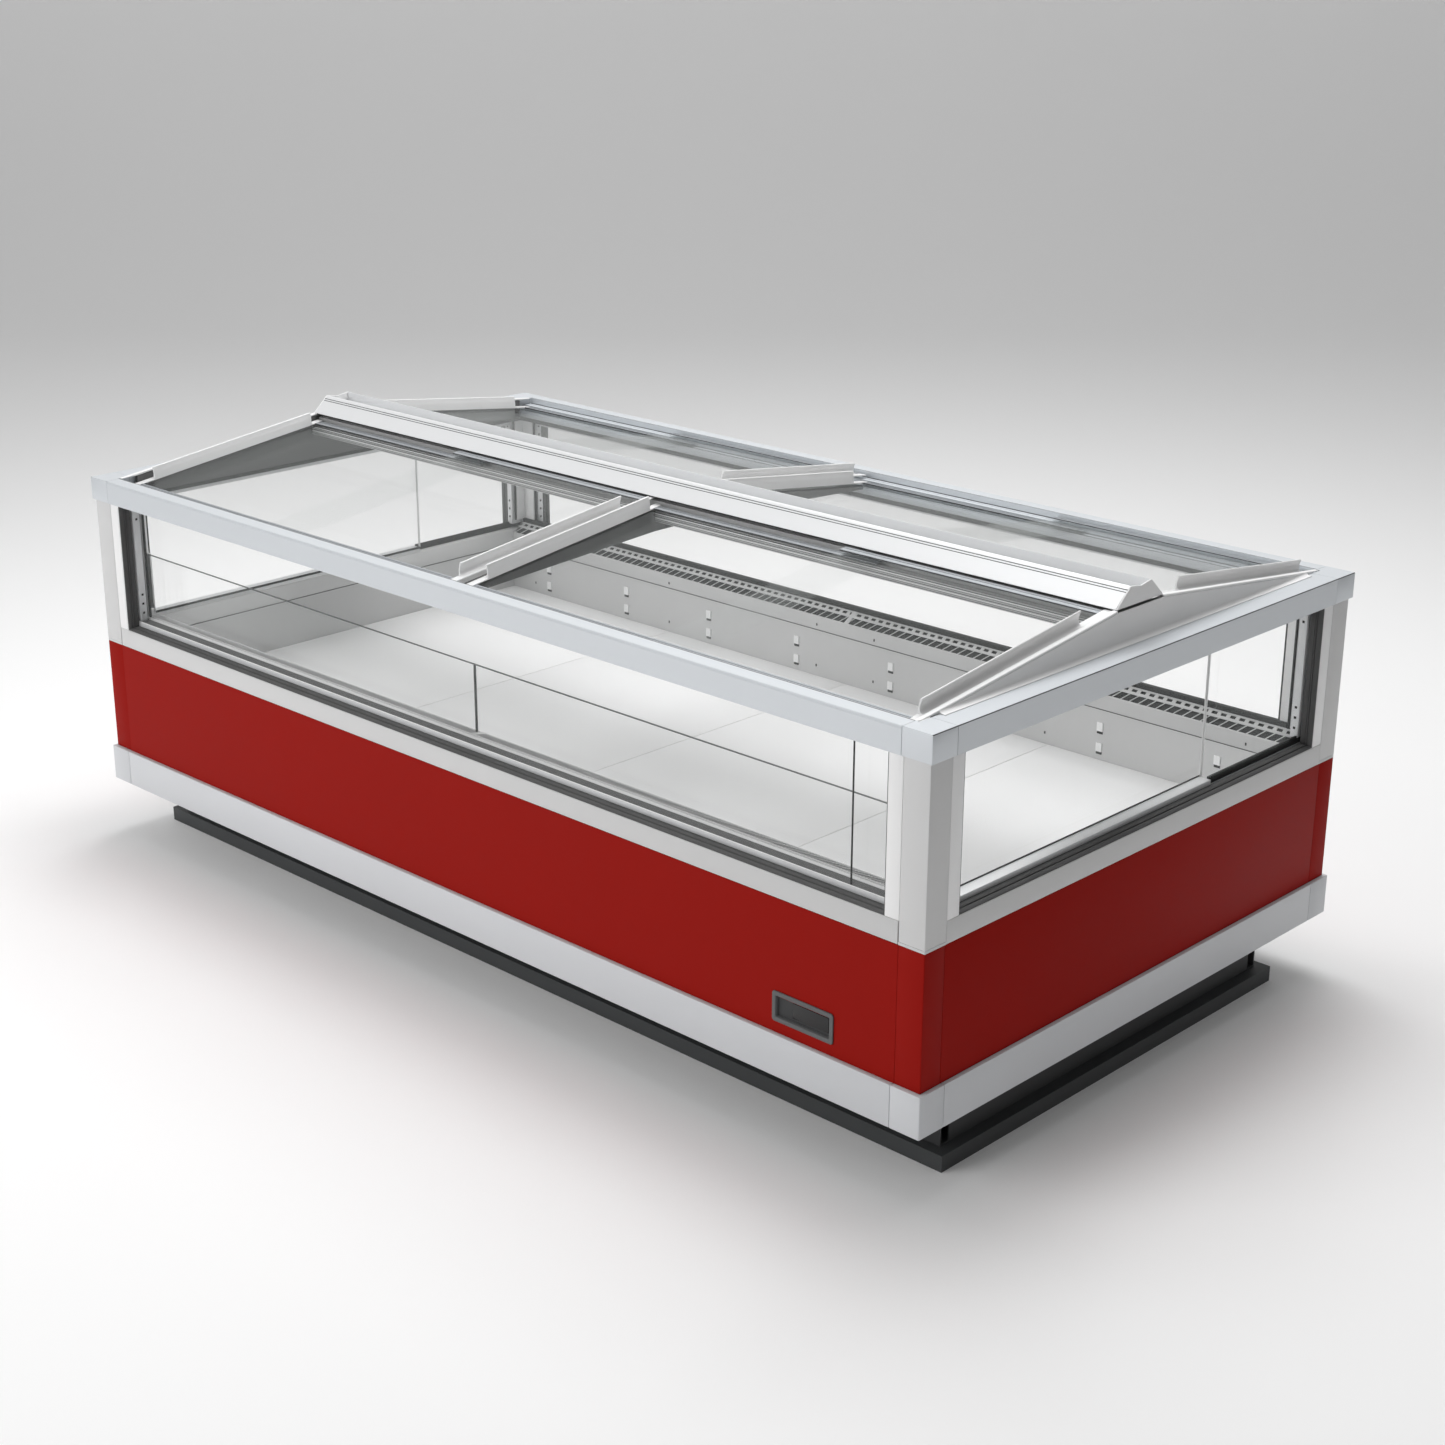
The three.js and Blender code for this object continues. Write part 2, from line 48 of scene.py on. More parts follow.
ENDS = (("left", -1), ("right", 1))


def low(node):
    return Vector(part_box(node)[0])


def high(node):
    return Vector(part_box(node)[1])


def mm(*sizes):
    """Millimetres as metres."""
    return tuple(size * MM for size in sizes)


def off(base, first, last, side=1):
    """Two places, in millimetres from a base line, on the side that +1 or -1 says."""
    return (side * (base + first * MM), side * (base + last * MM))


def centred(half, short=0.0):
    """From one end to the other of something centred, less so many millimetres at each end."""
    return (-half + short * MM, half - short * MM)


# ---- places read from the frame ------------------------------------------------------------------
SKIN_X, SKIN_Y = high("panel_right").x, high("panel_back").y
SEAM_X = high("panel_front").x  # where the corner pieces start along the long sides
POST = 58 * MM
SEAM_Y = SKIN_Y - POST
BEAM_X, BEAM_Y = high("beam_right").x, high("beam_right").y
BEAM_LOW, BEAM_TOP = low("beam_front").z, high("beam_front").z
SILL_LOW = low("sill_right").z
SILL_TOP = low("post_front_right").z + 43.5 * MM
PANEL_LOW, PANEL_TOP = low("panel_front").z, high("panel_front").z
BUMP_X, BUMP_Y = high("bumper_right").x, high("bumper_back").y
BUMP_LOW, BUMP_TOP = low("bumper_front").z, high("bumper_front").z
BUMP_SEAM = high("bumper_front").x
WELL_X, WELL_Y = high("deck").x, high("deck").y
DECK_LOW, DECK_TOP = low("deck").z, high("deck").z
GLASS_LOW, GLASS_TOP = low("glazing_front").z, high("glazing_front").z
GLASS_OUT = SKIN_Y - high("glazing_back").y  # depth of the outer pane behind the skin
GLASS_IN = SKIN_Y - low("glazing_back").y
LINER_TOP = high("tub").z
RISER_OUT, RISER_IN = -low("riser_glass").y, -high("riser_glass").y
RISER_LOW, RISER_TOP = low("riser_glass").z, high("riser_glass").z
RIDGE_LOW, RIDGE_TOP = low("ridge_cap").z, high("ridge_cap").z
RIDGE_HALF, RIDGE_END = high("ridge_cap").y, high("ridge_cap").x
TRIM = 33 * MM
WINDOW_X, WINDOW_Y = SEAM_X - TRIM, SEAM_Y - TRIM


# ---- shader sums ---------------------------------------------------------------------------------
class Value:
    """A number that varies over a surface; Python sums on it add Math nodes."""

    def __init__(self, finish, socket):
        self.finish, self.socket = finish, socket

    def sum(self, operation, *values, clamp=False):
        settings = {"operation": operation, "use_clamp": clamp}
        links = {index: value for index, value in enumerate(values)}
        return self.finish.node("ShaderNodeMath", settings, links)

    def __add__(self, other):
        return self.sum("ADD", self, other)

    def __mul__(self, other):
        return self.sum("MULTIPLY", self, other)

    def __truediv__(self, other):
        return self.sum("DIVIDE", self, other)

    def __pow__(self, other):
        return self.sum("POWER", self, other)

    __radd__ = __add__
    __rmul__ = __mul__

    def clamped(self):
        return self.sum("ADD", self, 0.0, clamp=True)


class Finish:
    """A material under construction, round one Principled shader."""

    def __init__(self, name, **uniform):
        self.material = bpy.data.materials.new(name)
        self.material.use_nodes = True
        self.tree = self.material.node_tree
        self.shader = self.tree.nodes["Principled BSDF"]
        self.place = self.node("ShaderNodeTexCoord", out="Object")
        self.set(**uniform)

    def node(self, kind, settings=None, links=None, out=0):
        node = self.tree.nodes.new(kind)
        for key, value in (settings or {}).items():
            setattr(node, key, value)
        for key, value in (links or {}).items():
            self.link(node.inputs[key], value)
        return Value(self, node.outputs[out])

    def link(self, socket, value):
        if isinstance(value, Value):
            self.tree.links.new(value.socket, socket)
        else:
            socket.default_value = value

    def set(self, **sockets):
        for name, value in sockets.items():
            socket = self.shader.inputs[name.replace("_", " ").title().replace("Ior", "IOR")]
            if name == "base_color" and not isinstance(value, Value):
                value = (*value, 1.0)
            self.link(socket, value)

    def axis(self, index):
        return self.node("ShaderNodeSeparateXYZ", None, {0: self.place}, index)

    def scaled(self, x, y, z):
        return self.node("ShaderNodeVectorMath", {"operation": "MULTIPLY"}, {0: self.place, 1: (x, y, z)})

    def noise(self, scale, detail=3.0, at=None):
        links = {"Vector": at or self.place, "Scale": scale, "Detail": detail}
        return self.node("ShaderNodeTexNoise", None, links)

    def between(self, factor, first, second):
        settings = {"data_type": "RGBA"}
        links = {0: factor, 6: self.colour(first), 7: self.colour(second)}
        return self.node("ShaderNodeMix", settings, links, 2)

    @staticmethod
    def colour(value):
        return value if isinstance(value, Value) else (*value, 1.0)

    def bump(self, height, depth, strength=1.0):
        links = {"Height": height, "Distance": depth, "Strength": strength}
        self.set(normal=self.node("ShaderNodeBump", None, links))


def srgb(red, green, blue):
    def linear(value):
        value /= 255
        return value / 12.92 if value <= 0.04045 else ((value + 0.055) / 1.055) ** 2.4

    return tuple(linear(value) for value in (red, green, blue))


def powder_coat(name, colour, rough=0.42, peel=0.00003, shift=0.06, sheen=0.4):
    """Sprayed and baked paint: a faint orange peel and a slow drift of tone."""
    finish = Finish(name, specular_ior_level=sheen)
    drift = finish.noise(3.0, 2.0)
    darker = tuple(c * (1 - shift) for c in colour)
    finish.set(base_color=finish.between(drift, darker, colour))
    fine = finish.noise(900.0, 2.0)
    finish.set(roughness=drift * 0.08 + (rough - 0.04))
    finish.bump(fine, peel)
    return finish.material


def drawn_metal(name, colour, along, rough=0.34, metal=0.85):
    """Anodised extrusion: hair lines that run along the length."""
    finish = Finish(name, metallic=metal)
    stretch = [0.6 if index == along else 700.0 for index in range(3)]
    hair = finish.noise(1.0, 3.0, finish.scaled(*stretch))
    cloud = finish.noise(2.5, 2.0)
    darker = tuple(c * 0.96 for c in colour)
    finish.set(base_color=finish.between(hair * 0.6 + cloud * 0.4, darker, colour))
    finish.set(roughness=hair * 0.05 + cloud * 0.05 + (rough - 0.05))
    finish.bump(hair, 0.00001)
    return finish.material


def moulded(name, colour, rough=0.5, grain=0.00002):
    """Moulded or extruded plastic with a fine grain."""
    finish = Finish(name)
    speck = finish.noise(1400.0, 2.0)
    cloud = finish.noise(6.0, 2.0)
    darker = tuple(c * 0.92 for c in colour)
    finish.set(base_color=finish.between(cloud, darker, colour))
    finish.set(roughness=speck * 0.1 + (rough - 0.05))
    finish.bump(speck, grain)
    return finish.material


def clear_glass(name, tint, face_on=0.02, grazing=0.45, haze=0.004):
    """Clear pane: a share that grows towards grazing angles is reflected, the rest goes through."""
    finish = Finish(name, metallic=1.0, base_color=tint, roughness=0.02)
    facing = finish.node("ShaderNodeLayerWeight", None, {"Blend": 0.5}, out="Facing")
    film = finish.noise(5.0, 3.0)
    finish.set(alpha=(facing ** 5.0 * grazing + film * haze + face_on).clamped())
    return finish.material


def stucco(name, colour):
    """White sheet embossed with small dimples."""
    finish = Finish(name)
    cells = finish.node(
        "ShaderNodeTexVoronoi", {"feature": "SMOOTH_F1"}, {"Vector": finish.place, "Scale": 260.0},
    )
    cloud = finish.noise(4.0, 3.0)
    fine = finish.noise(500.0, 2.0)
    darker = tuple(c * 0.88 for c in colour)
    finish.set(base_color=finish.between(cloud * 0.5 + fine * 0.5, darker, colour))
    finish.set(roughness=cells * 0.2 + 0.38)
    finish.bump(cells + fine * 0.5, 0.0004, 0.6)
    return finish.material


def liner_sheet(name, colour):
    """Well lining: pale sheet with a faint upright grain."""
    finish = Finish(name)
    grain = finish.noise(1.0, 3.0, finish.scaled(260.0, 260.0, 9.0))
    cloud = finish.noise(3.0, 2.0)
    darker = tuple(c * 0.86 for c in colour)
    finish.set(base_color=finish.between(grain * 0.5 + cloud * 0.5, darker, colour))
    finish.set(roughness=grain * 0.15 + 0.4)
    finish.bump(grain, 0.00015, 0.5)
    return finish.material


def rubber(name, colour, rough=0.7):
    finish = Finish(name)
    speck = finish.noise(700.0, 3.0)
    dust = finish.noise(12.0, 3.0)
    paler = tuple(min(1.0, c * 1.35 + 0.004) for c in colour)
    finish.set(base_color=finish.between(dust, colour, paler))
    finish.set(roughness=speck * 0.15 + (rough - 0.07))
    finish.bump(speck, 0.00004)
    return finish.material


RED = powder_coat("red_powder_coat", srgb(150, 20, 12), 0.5, sheen=0.05)
WHITE = powder_coat("white_powder_coat", srgb(232, 232, 232), 0.45)
POST_GREY = powder_coat("post_powder_coat", srgb(212, 212, 212), 0.45)
TRIM_WHITE = powder_coat("trim_powder_coat", srgb(243, 243, 243), 0.4)
BUMPER = powder_coat("bumper_silver", srgb(214, 216, 219), 0.4)
BEAM_ALONG_X = drawn_metal("beam_aluminium_long", srgb(212, 216, 220), 0, 0.42, 0.35)
BEAM_ALONG_Y = drawn_metal("beam_aluminium_end", srgb(212, 216, 220), 1, 0.42, 0.35)
RIDGE_METAL = drawn_metal("ridge_aluminium", srgb(226, 227, 228), 0, 0.42, 0.3)
TRACK_METAL = drawn_metal("track_aluminium", srgb(172, 176, 180), 0, 0.4, 0.45)
RAIL_METAL = drawn_metal("rail_aluminium", srgb(184, 184, 184), 0, 0.42, 0.25)
TRACK_LINE = moulded("track_line_dark", srgb(62, 64, 66), 0.5)
SPACER_METAL = drawn_metal("spacer_aluminium", srgb(226, 227, 228), 2, 0.4, 0.2)
GABLE_GREY = moulded("gable_cover_grey", srgb(242, 242, 242), 0.7)
HANDLE_WHITE = moulded("handle_white", srgb(246, 246, 246), 0.22)
INNER_DARK = moulded("gable_liner_dark", srgb(94, 94, 94), 0.5)
RAFTER_DARK = moulded("rafter_dark", srgb(70, 70, 70), 0.5)
GASKET = rubber("window_gasket", srgb(74, 74, 74))
BLACK = rubber("black_seal", srgb(18, 18, 18), 0.7)
KICK_DARK = moulded("kickboard_dark", srgb(58, 59, 60), 0.55)
PLINTH_DARK = powder_coat("plinth_dark", srgb(64, 66, 67), 0.5)
LINER = liner_sheet("well_liner", srgb(206, 206, 206))
DECK = stucco("deck_stucco", srgb(240, 240, 240))
# darker grey than the liner: painted shade on the sloping grille sheet and its bars
SHADED_GRILLE = powder_coat("grille_white", srgb(196, 196, 196), 0.5)
VOID = rubber("duct_shadow", srgb(30, 30, 31), 0.9)
BEZEL = moulded("display_bezel_grey", srgb(92, 93, 94), 0.4)
RECESS = moulded("display_recess_dark", srgb(44, 45, 46), 0.5)
SCREEN = moulded("display_window_black", srgb(16, 17, 18), 0.15, 0.000002)
PANE = clear_glass("clear_pane", srgb(236, 242, 240))
LID_PANE = clear_glass("lid_pane", srgb(236, 242, 240))
PANE_EDGE = moulded("pane_edge", srgb(40, 44, 44), 0.3)
FIN = drawn_metal("coil_fins", srgb(200, 203, 206), 1, 0.35, 0.9)
ZINC = drawn_metal("fan_zinc", srgb(170, 172, 174), 1, 0.4, 0.9)
FAN_BLACK = moulded("fan_black", srgb(34, 34, 35), 0.45)


# ---- making pieces -------------------------------------------------------------------------------
class Piece:
    """Collects prisms into one mesh; outlines are in metres."""

    def __init__(self, name, material, body="cabinet"):
        self.name, self.material, self.body = name, material, body
        self.mesh = bmesh.new()

    def prism(self, outline, axis, start, end, bevel=0.0, segments=2, angle=30, flip=(1, 1), tilt=None):
        """An outline in the other two axes, from start to end along the named axis."""
        part = bmesh.new()
        rings = []
        for level in (start, end):
            ring = []
            for u, v in outline:
                u, v = u * flip[0], v * flip[1]
                spot = {"X": (level, u, v), "Y": (u, level, v), "Z": (u, v, level)}[axis]
                ring.append(part.verts.new(spot))
            rings.append(ring)
        count = len(outline)
        part.faces.new(rings[0])
        part.faces.new(rings[1])
        for index in range(count):
            following = (index + 1) % count
            part.faces.new((rings[0][index], rings[0][following], rings[1][following], rings[1][index]))
        bmesh.ops.recalc_face_normals(part, faces=part.faces)
        if bevel:
            limit = math.radians(angle)
            edges = [edge for edge in part.edges if edge.calc_face_angle(0) > limit]
            bmesh.ops.bevel(
                part, geom=edges, offset=bevel, segments=segments, profile=0.5, affect="EDGES",
                clamp_overlap=True,
            )
        if tilt:
            bmesh.ops.transform(part, matrix=tilt, verts=part.verts)
        self.take(part)
        return self

    def take(self, part):
        holder = bpy.data.meshes.new("part")
        part.to_mesh(holder)
        part.free()
        self.mesh.from_mesh(holder)
        bpy.data.meshes.remove(holder)

    def block(self, x, y, z, bevel=0.0, segments=2, tilt=None):
        x, y, z = sorted(x), sorted(y), sorted(z)
        outline = [(y[0], z[0]), (y[1], z[0]), (y[1], z[1]), (y[0], z[1])]
        return self.prism(outline, "X", x[0], x[1], bevel, segments, tilt=tilt)

    def done(self, slot=None, replaces=()):
        mesh = bpy.data.meshes.new(self.name)
        self.mesh.to_mesh(mesh)
        self.mesh.free()
        return finished(self.name, mesh, self.material, self.body, replaces)


def finished(name, mesh, material, body, replaces=()):
    mesh.materials.clear()
    mesh.materials.append(material)
    mesh.shade_smooth()
    mesh.set_sharp_from_angle(angle=math.radians(35))
    piece = bpy.data.objects.new(name, mesh)
    SCENE.collection.objects.link(piece)
    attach(piece, body)
    if replaces:
        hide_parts(*replaces)
    return piece


def frame_ring(piece, profile, plane, at, half, z, sign):
    """A mitred ring round a window: profile points are (depth behind at, inset from the opening)."""
    part = bmesh.new()
    loops = []
    for depth, inset in profile:
        level = sign * (at - depth)
        corners = [
            (-half + inset, z[0] + inset),
            (half - inset, z[0] + inset),
            (half - inset, z[1] - inset),
            (-half + inset, z[1] - inset),
        ]
        spots = [(u, level, v) if plane == "Y" else (level, u, v) for u, v in corners]
        loops.append([part.verts.new(spot) for spot in spots])
    count = len(profile)
    for index in range(count):
        here, there = loops[index], loops[(index + 1) % count]
        for corner in range(4):
            following = (corner + 1) % 4
            part.faces.new((here[corner], here[following], there[following], there[corner]))
    bmesh.ops.recalc_face_normals(part, faces=part.faces)
    piece.take(part)
    return piece


# ---- rows made by geometry nodes -----------------------------------------------------------------
def row_tree():
    """A node group: a bar of given size, repeated along a line."""
    tree = bpy.data.node_groups.new("row_of_bars", "GeometryNodeTree")
    face = tree.interface
    face.new_socket("Count", in_out="INPUT", socket_type="NodeSocketInt")
    for name in ("Start", "Step", "Bar size", "Bar turn"):
        face.new_socket(name, in_out="INPUT", socket_type="NodeSocketVector")
    face.new_socket("Finish", in_out="INPUT", socket_type="NodeSocketMaterial")
    face.new_socket("Geometry", in_out="OUTPUT", socket_type="NodeSocketGeometry")
    nodes, links = tree.nodes, tree.links
    given = nodes.new("NodeGroupInput")
    line = nodes.new("GeometryNodeMeshLine")
    line.mode, line.count_mode = "OFFSET", "TOTAL"
    bar = nodes.new("GeometryNodeMeshCube")
    spread = nodes.new("GeometryNodeInstanceOnPoints")
    solid = nodes.new("GeometryNodeRealizeInstances")
    paint = nodes.new("GeometryNodeSetMaterial")
    result = nodes.new("NodeGroupOutput")
    links.new(given.outputs["Count"], line.inputs["Count"])
    links.new(given.outputs["Start"], line.inputs["Start Location"])
    links.new(given.outputs["Step"], line.inputs["Offset"])
    links.new(given.outputs["Bar size"], bar.inputs["Size"])
    links.new(line.outputs[0], spread.inputs["Points"])
    links.new(bar.outputs[0], spread.inputs["Instance"])
    links.new(given.outputs["Bar turn"], spread.inputs["Rotation"])
    links.new(spread.outputs[0], solid.inputs[0])
    links.new(solid.outputs[0], paint.inputs["Geometry"])
    links.new(given.outputs["Finish"], paint.inputs["Material"])
    links.new(paint.outputs[0], result.inputs[0])
    return tree


ROW = row_tree()


def row(count, start, step, size, material, turn=(0, 0, 0)):
    """A mesh of count bars, baked from the row group."""
    mesh = bpy.data.meshes.new("row")
    holder = bpy.data.objects.new("row", mesh)
    SCENE.collection.objects.link(holder)
    modifier = holder.modifiers.new("row", "NODES")
    modifier.node_group = ROW
    values = {
        "Count": count, "Start": start, "Step": step, "Bar size": size, "Bar turn": turn,
        "Finish": material,
    }
    for item in ROW.interface.items_tree:
        if item.in_out == "INPUT":
            modifier[item.identifier] = values[item.name]
    graph = bpy.context.evaluated_depsgraph_get()
    made = bpy.data.meshes.new_from_object(holder.evaluated_get(graph))
    bpy.data.objects.remove(holder)
    return made


def add_row(piece, *args, **kwargs):
    made = row(*args, piece.material, **kwargs)
    piece.mesh.from_mesh(made)
    bpy.data.meshes.remove(made)
    return piece


# ---- camera, light and floor ---------------------------------------------------------------------
def studio():
    camera = bpy.data.objects.new("camera", bpy.data.cameras.new("camera"))
    SCENE.collection.objects.link(camera)
    camera.data.lens, camera.data.sensor_width = 58.693, 36.0
    camera.data.clip_end = 100
    yaw, pitch, roll = math.radians(-43.857), math.radians(19.684), math.radians(0.175)
    ahead = Vector((math.sin(yaw) * math.cos(pitch), math.cos(yaw) * math.cos(pitch), -math.sin(pitch)))
    right = Vector((math.cos(yaw), -math.sin(yaw), 0.0))
    up = right.cross(ahead)
    level = math.cos(roll) * right + math.sin(roll) * up
    upright = -math.sin(roll) * right + math.cos(roll) * up
    turn = Matrix((level, upright, -ahead)).transposed().to_4x4()
    camera.matrix_world = Matrix.Translation((3.4860, -3.4872, 2.1783)) @ turn
    SCENE.camera = camera

    SCENE.view_settings.view_transform = "Standard"
    world = bpy.data.worlds.new("studio")
    SCENE.world = world
    world.use_nodes = True
    # the sky of the studio is dimmer towards the end of the object that is turned to the camera
    tree = world.node_tree
    sky = tree.nodes["Background"]
    sky.inputs["Color"].default_value = (1, 1, 1, 1)
    place = tree.nodes.new("ShaderNodeTexCoord")
    split = tree.nodes.new("ShaderNodeSeparateXYZ")
    ramp = tree.nodes.new("ShaderNodeMapRange")
    tree.links.new(place.outputs["Generated"], split.inputs[0])
    tree.links.new(split.outputs["X"], ramp.inputs["Value"])
    for key, value in (("From Min", -0.4), ("From Max", 0.9), ("To Min", 0.52), ("To Max", 0.16)):
        ramp.inputs[key].default_value = value
    tree.links.new(ramp.outputs["Result"], sky.inputs["Strength"])

    def panel(name, spot, aim, size, power):
        light = bpy.data.lights.new(name, "AREA")
        light.shape, light.size, light.size_y, light.energy = "RECTANGLE", size[0], size[1], power
        holder = bpy.data.objects.new(name, light)
        SCENE.collection.objects.link(holder)
        holder.location = spot
        holder.rotation_euler = (Vector(aim) - Vector(spot)).to_track_quat("-Z", "Y").to_euler()

    panel("overhead", (-0.5, 1.0, 5.0), (0, 0, 0.5), (3.6, 3.4), 200)
    panel("front_fill", (-2.2, -6.0, 3.0), (0, 0, 0.5), (4.0, 3.0), 150)
    panel("end_fill", (6.0, 1.0, 3.0), (0, 0, 0.5), (3.0, 3.0), 4)

    floor_mesh = bpy.data.meshes.new("floor")
    made = bmesh.new()
    reach, rise, bend = 7.0, 9.0, 3.0
    steps = 24
    line = [(-14.0, 0.0)]
    for index in range(steps + 1):
        angle = index / steps * math.pi / 2
        line.append((reach + bend * math.sin(angle), bend - bend * math.cos(angle)))
    line.append((reach + bend, rise))
    across = Vector((math.cos(yaw), -math.sin(yaw), 0))
    away = Vector((math.sin(yaw), math.cos(yaw), 0))
    rows = []
    for run, height in line:
        rise = Vector((0, 0, height))
        rows.append([made.verts.new(away * run + across * side + rise) for side in (-16, 16)])
    for first, second in zip(rows, rows[1:]):
        made.faces.new((first[0], first[1], second[1], second[0]))
    made.to_mesh(floor_mesh)
    made.free()
    floor_mesh.shade_smooth()
    floor = bpy.data.objects.new("floor", floor_mesh)
    SCENE.collection.objects.link(floor)
    paper = Finish("studio_paper", roughness=0.9, specular_ior_level=0.1)
    height = paper.axis(2)
    fade = (height / 5.0).clamped()
    paper.set(base_color=paper.between(fade, (0.93, 0.93, 0.93), (0.8, 0.8, 0.8)))
    paper.set(emission_color=paper.between(fade, (0.0, 0.0, 0.0), (0.3, 0.3, 0.3)), emission_strength=1.0)
    floor_mesh.materials.append(paper.material)


studio()


# ---- base ----------------------------------------------------------------------------------------
def paint(nodes, material):
    for name in nodes:
        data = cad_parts[name].data
        for index in range(len(data.materials)):
            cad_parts[name].material_slots[index].material = material


paint(["base_tray"], PLINTH_DARK)
paint([f"kickboard_{side}" for side in ("front", "back", "left", "right")], KICK_DARK)
paint(["tub"], LINER)
paint(["evaporator"], FIN)
paint(["fan_plate"], ZINC)
paint(["fan_rotor"], FAN_BLACK)
paint(["mid_rafter"], RAFTER_DARK)

RED_IN_X, RED_IN_Y = SKIN_X - 5.9 * MM, SKIN_Y - 4.5 * MM
SEAM = 0.4 * MM  # half of a visible joint between neighbours


def corner_plan(out_x, out_y, in_x, in_y, from_x, from_y, round_off):
    """L-shaped plan of a corner piece in the +X +Y quarter."""
    points = [(from_x, in_y), (from_x, out_y)]
    for index in range(5):
        angle = index / 4 * math.pi / 2
        points.append((
            out_x - round_off + round_off * math.sin(angle), out_y - round_off + round_off * math.cos(angle)
        ))
    points += [(out_x, from_y), (in_x, from_y), (in_x, in_y)]
    return points


def band(stem, slot, material, out, inner, z, seam, bevel, round_off, ends_only=False):
    """Faces and corner pieces of a band round the body, in place of its CAD pieces."""
    if not ends_only:
        for side, sign in SIDES:
            piece = Piece(f"{stem}_{side}_face", material)
            piece.block((-seam[0] + SEAM, seam[0] - SEAM), (sign * inner[1], sign * out[1]), z, bevel)
            piece.done(slot, [f"{stem}_{side}"])
    for side, sign in ENDS:
        piece = Piece(f"{stem}_{side}_face", material)
        piece.block((sign * inner[0], sign * out[0]), (-seam[1] + SEAM, seam[1] - SEAM), z, bevel)
        piece.done(slot, [f"{stem}_{side}"])
        for depth, way in SIDES:
            plan = corner_plan(*out, *inner, seam[0] + SEAM, seam[1] + SEAM, round_off)
            corner = Piece(f"{stem}_corner_{depth}_{side}", material)
            corner.prism(plan, "Z", z[0], z[1], bevel, flip=(sign, way), angle=40)
            corner.done(slot)


band(
    "bumper", "bumper_plastic", BUMPER, (BUMP_X, BUMP_Y), (RED_IN_X + 0.5 * MM, RED_IN_Y + 0.5 * MM),
    (BUMP_LOW, BUMP_TOP), (BUMP_SEAM, SEAM_Y), 1.6 * MM, 3 * MM,
)
band(
    "panel", "red_skirt", RED, (SKIN_X, SKIN_Y), (RED_IN_X, RED_IN_Y),
    (PANEL_LOW, PANEL_TOP), (SEAM_X, SEAM_Y + 3.4 * MM), 0.8 * MM, 2 * MM, ends_only=True,
)
paint(["panel_front", "panel_back"], RED)


# ---- sills, posts and trims ----------------------------------------------------------------------
def inward(half, points):
    """Outline points given as (depth behind the skin, z) turned into half-width coordinates."""
    return [(half - depth, z) for depth, z in points]


SHELF = GLASS_LOW - 0.3 * MM
SILL_TOP = SILL_LOW + 43.2 * MM
UNDER_BEAM = GLASS_TOP


def sill_outline(half, inset, depth):
    points = [(0, SILL_LOW), (0, SILL_TOP), (GLASS_OUT - 0.3 * MM, SILL_TOP), (GLASS_OUT - 0.3 * MM, SHELF)]
    points += [
        (depth, SHELF), (depth, LINER_TOP + 0.3 * MM), (inset, LINER_TOP + 0.3 * MM), (inset, SILL_LOW),
    ]
    return inward(half, points)


for side, sign in SIDES:
    sill = Piece(f"sill_{side}_rail", POST_GREY)
    lip = high("sill_front").z if side == "front" else SILL_TOP + 15 * MM
    strip = Piece(f"sill_{side}_lip", LINER)
    strip.block(
        centred(SEAM_X, 2), (sign * (SKIN_Y - GLASS_IN - 0.5 * MM), sign * (SKIN_Y - 66 * MM)),
        (SHELF + 0.1 * MM, lip), 0.8 * MM,
    )
    strip.done("white_frame")
    sill.prism(
        sill_outline(SKIN_Y, 4.8 * MM, 66 * MM),
        "X", -SEAM_X + 2 * MM, SEAM_X - 2 * MM, 0.8 * MM, flip=(sign, 1),
    )
    sill.done("white_frame", [f"sill_{side}"])
for side, sign in ENDS:
    sill = Piece(f"sill_{side}_rail", POST_GREY)
    sill.prism(
        sill_outline(SKIN_X, 6.2 * MM, GLASS_IN),
        "Y", -SEAM_Y - 0.1 * MM, SEAM_Y + 0.1 * MM, 0.8 * MM, flip=(sign, 1),
    )
    sill.done("white_frame", [f"sill_{side}"])

for depth, way in SIDES:
    for side, sign in ENDS:
        x = (sign * (SKIN_X - POST), sign * SKIN_X)
        y = (way * (SKIN_Y - POST), way * SKIN_Y)
        post = Piece(f"post_{depth}_{side}_cover", POST_GREY)
        post.block(x, y, (LINER_TOP + 0.4 * MM, UNDER_BEAM), 1.5 * MM, 3)
        foot = corner_plan(SKIN_X, SKIN_Y, SKIN_X - 6 * MM, SKIN_Y - 4.6 * MM, SEAM_X, SEAM_Y, 1.5 * MM)
        post.prism(foot, "Z", SILL_LOW, LINER_TOP + 0.4 * MM, flip=(sign, way))
        post.done("white_frame", [f"post_{depth}_{side}"])
        trim = Piece(f"window_trim_{depth}_{side}", TRIM_WHITE)
        inner_x = (sign * (WINDOW_X + 1 * MM), sign * (SEAM_X - SEAM))
        trim.block(inner_x, off(SKIN_Y, -26, -0.4, way), (SILL_TOP + 0.3 * MM, UNDER_BEAM), 0.8 * MM)
        inner_y = (way * (WINDOW_Y + 1 * MM), way * (SEAM_Y - SEAM))
        trim.block(off(SKIN_X, -26, -0.4, sign), inner_y, (SILL_TOP + 0.3 * MM, UNDER_BEAM), 0.8 * MM)
        trim.done("white_frame")

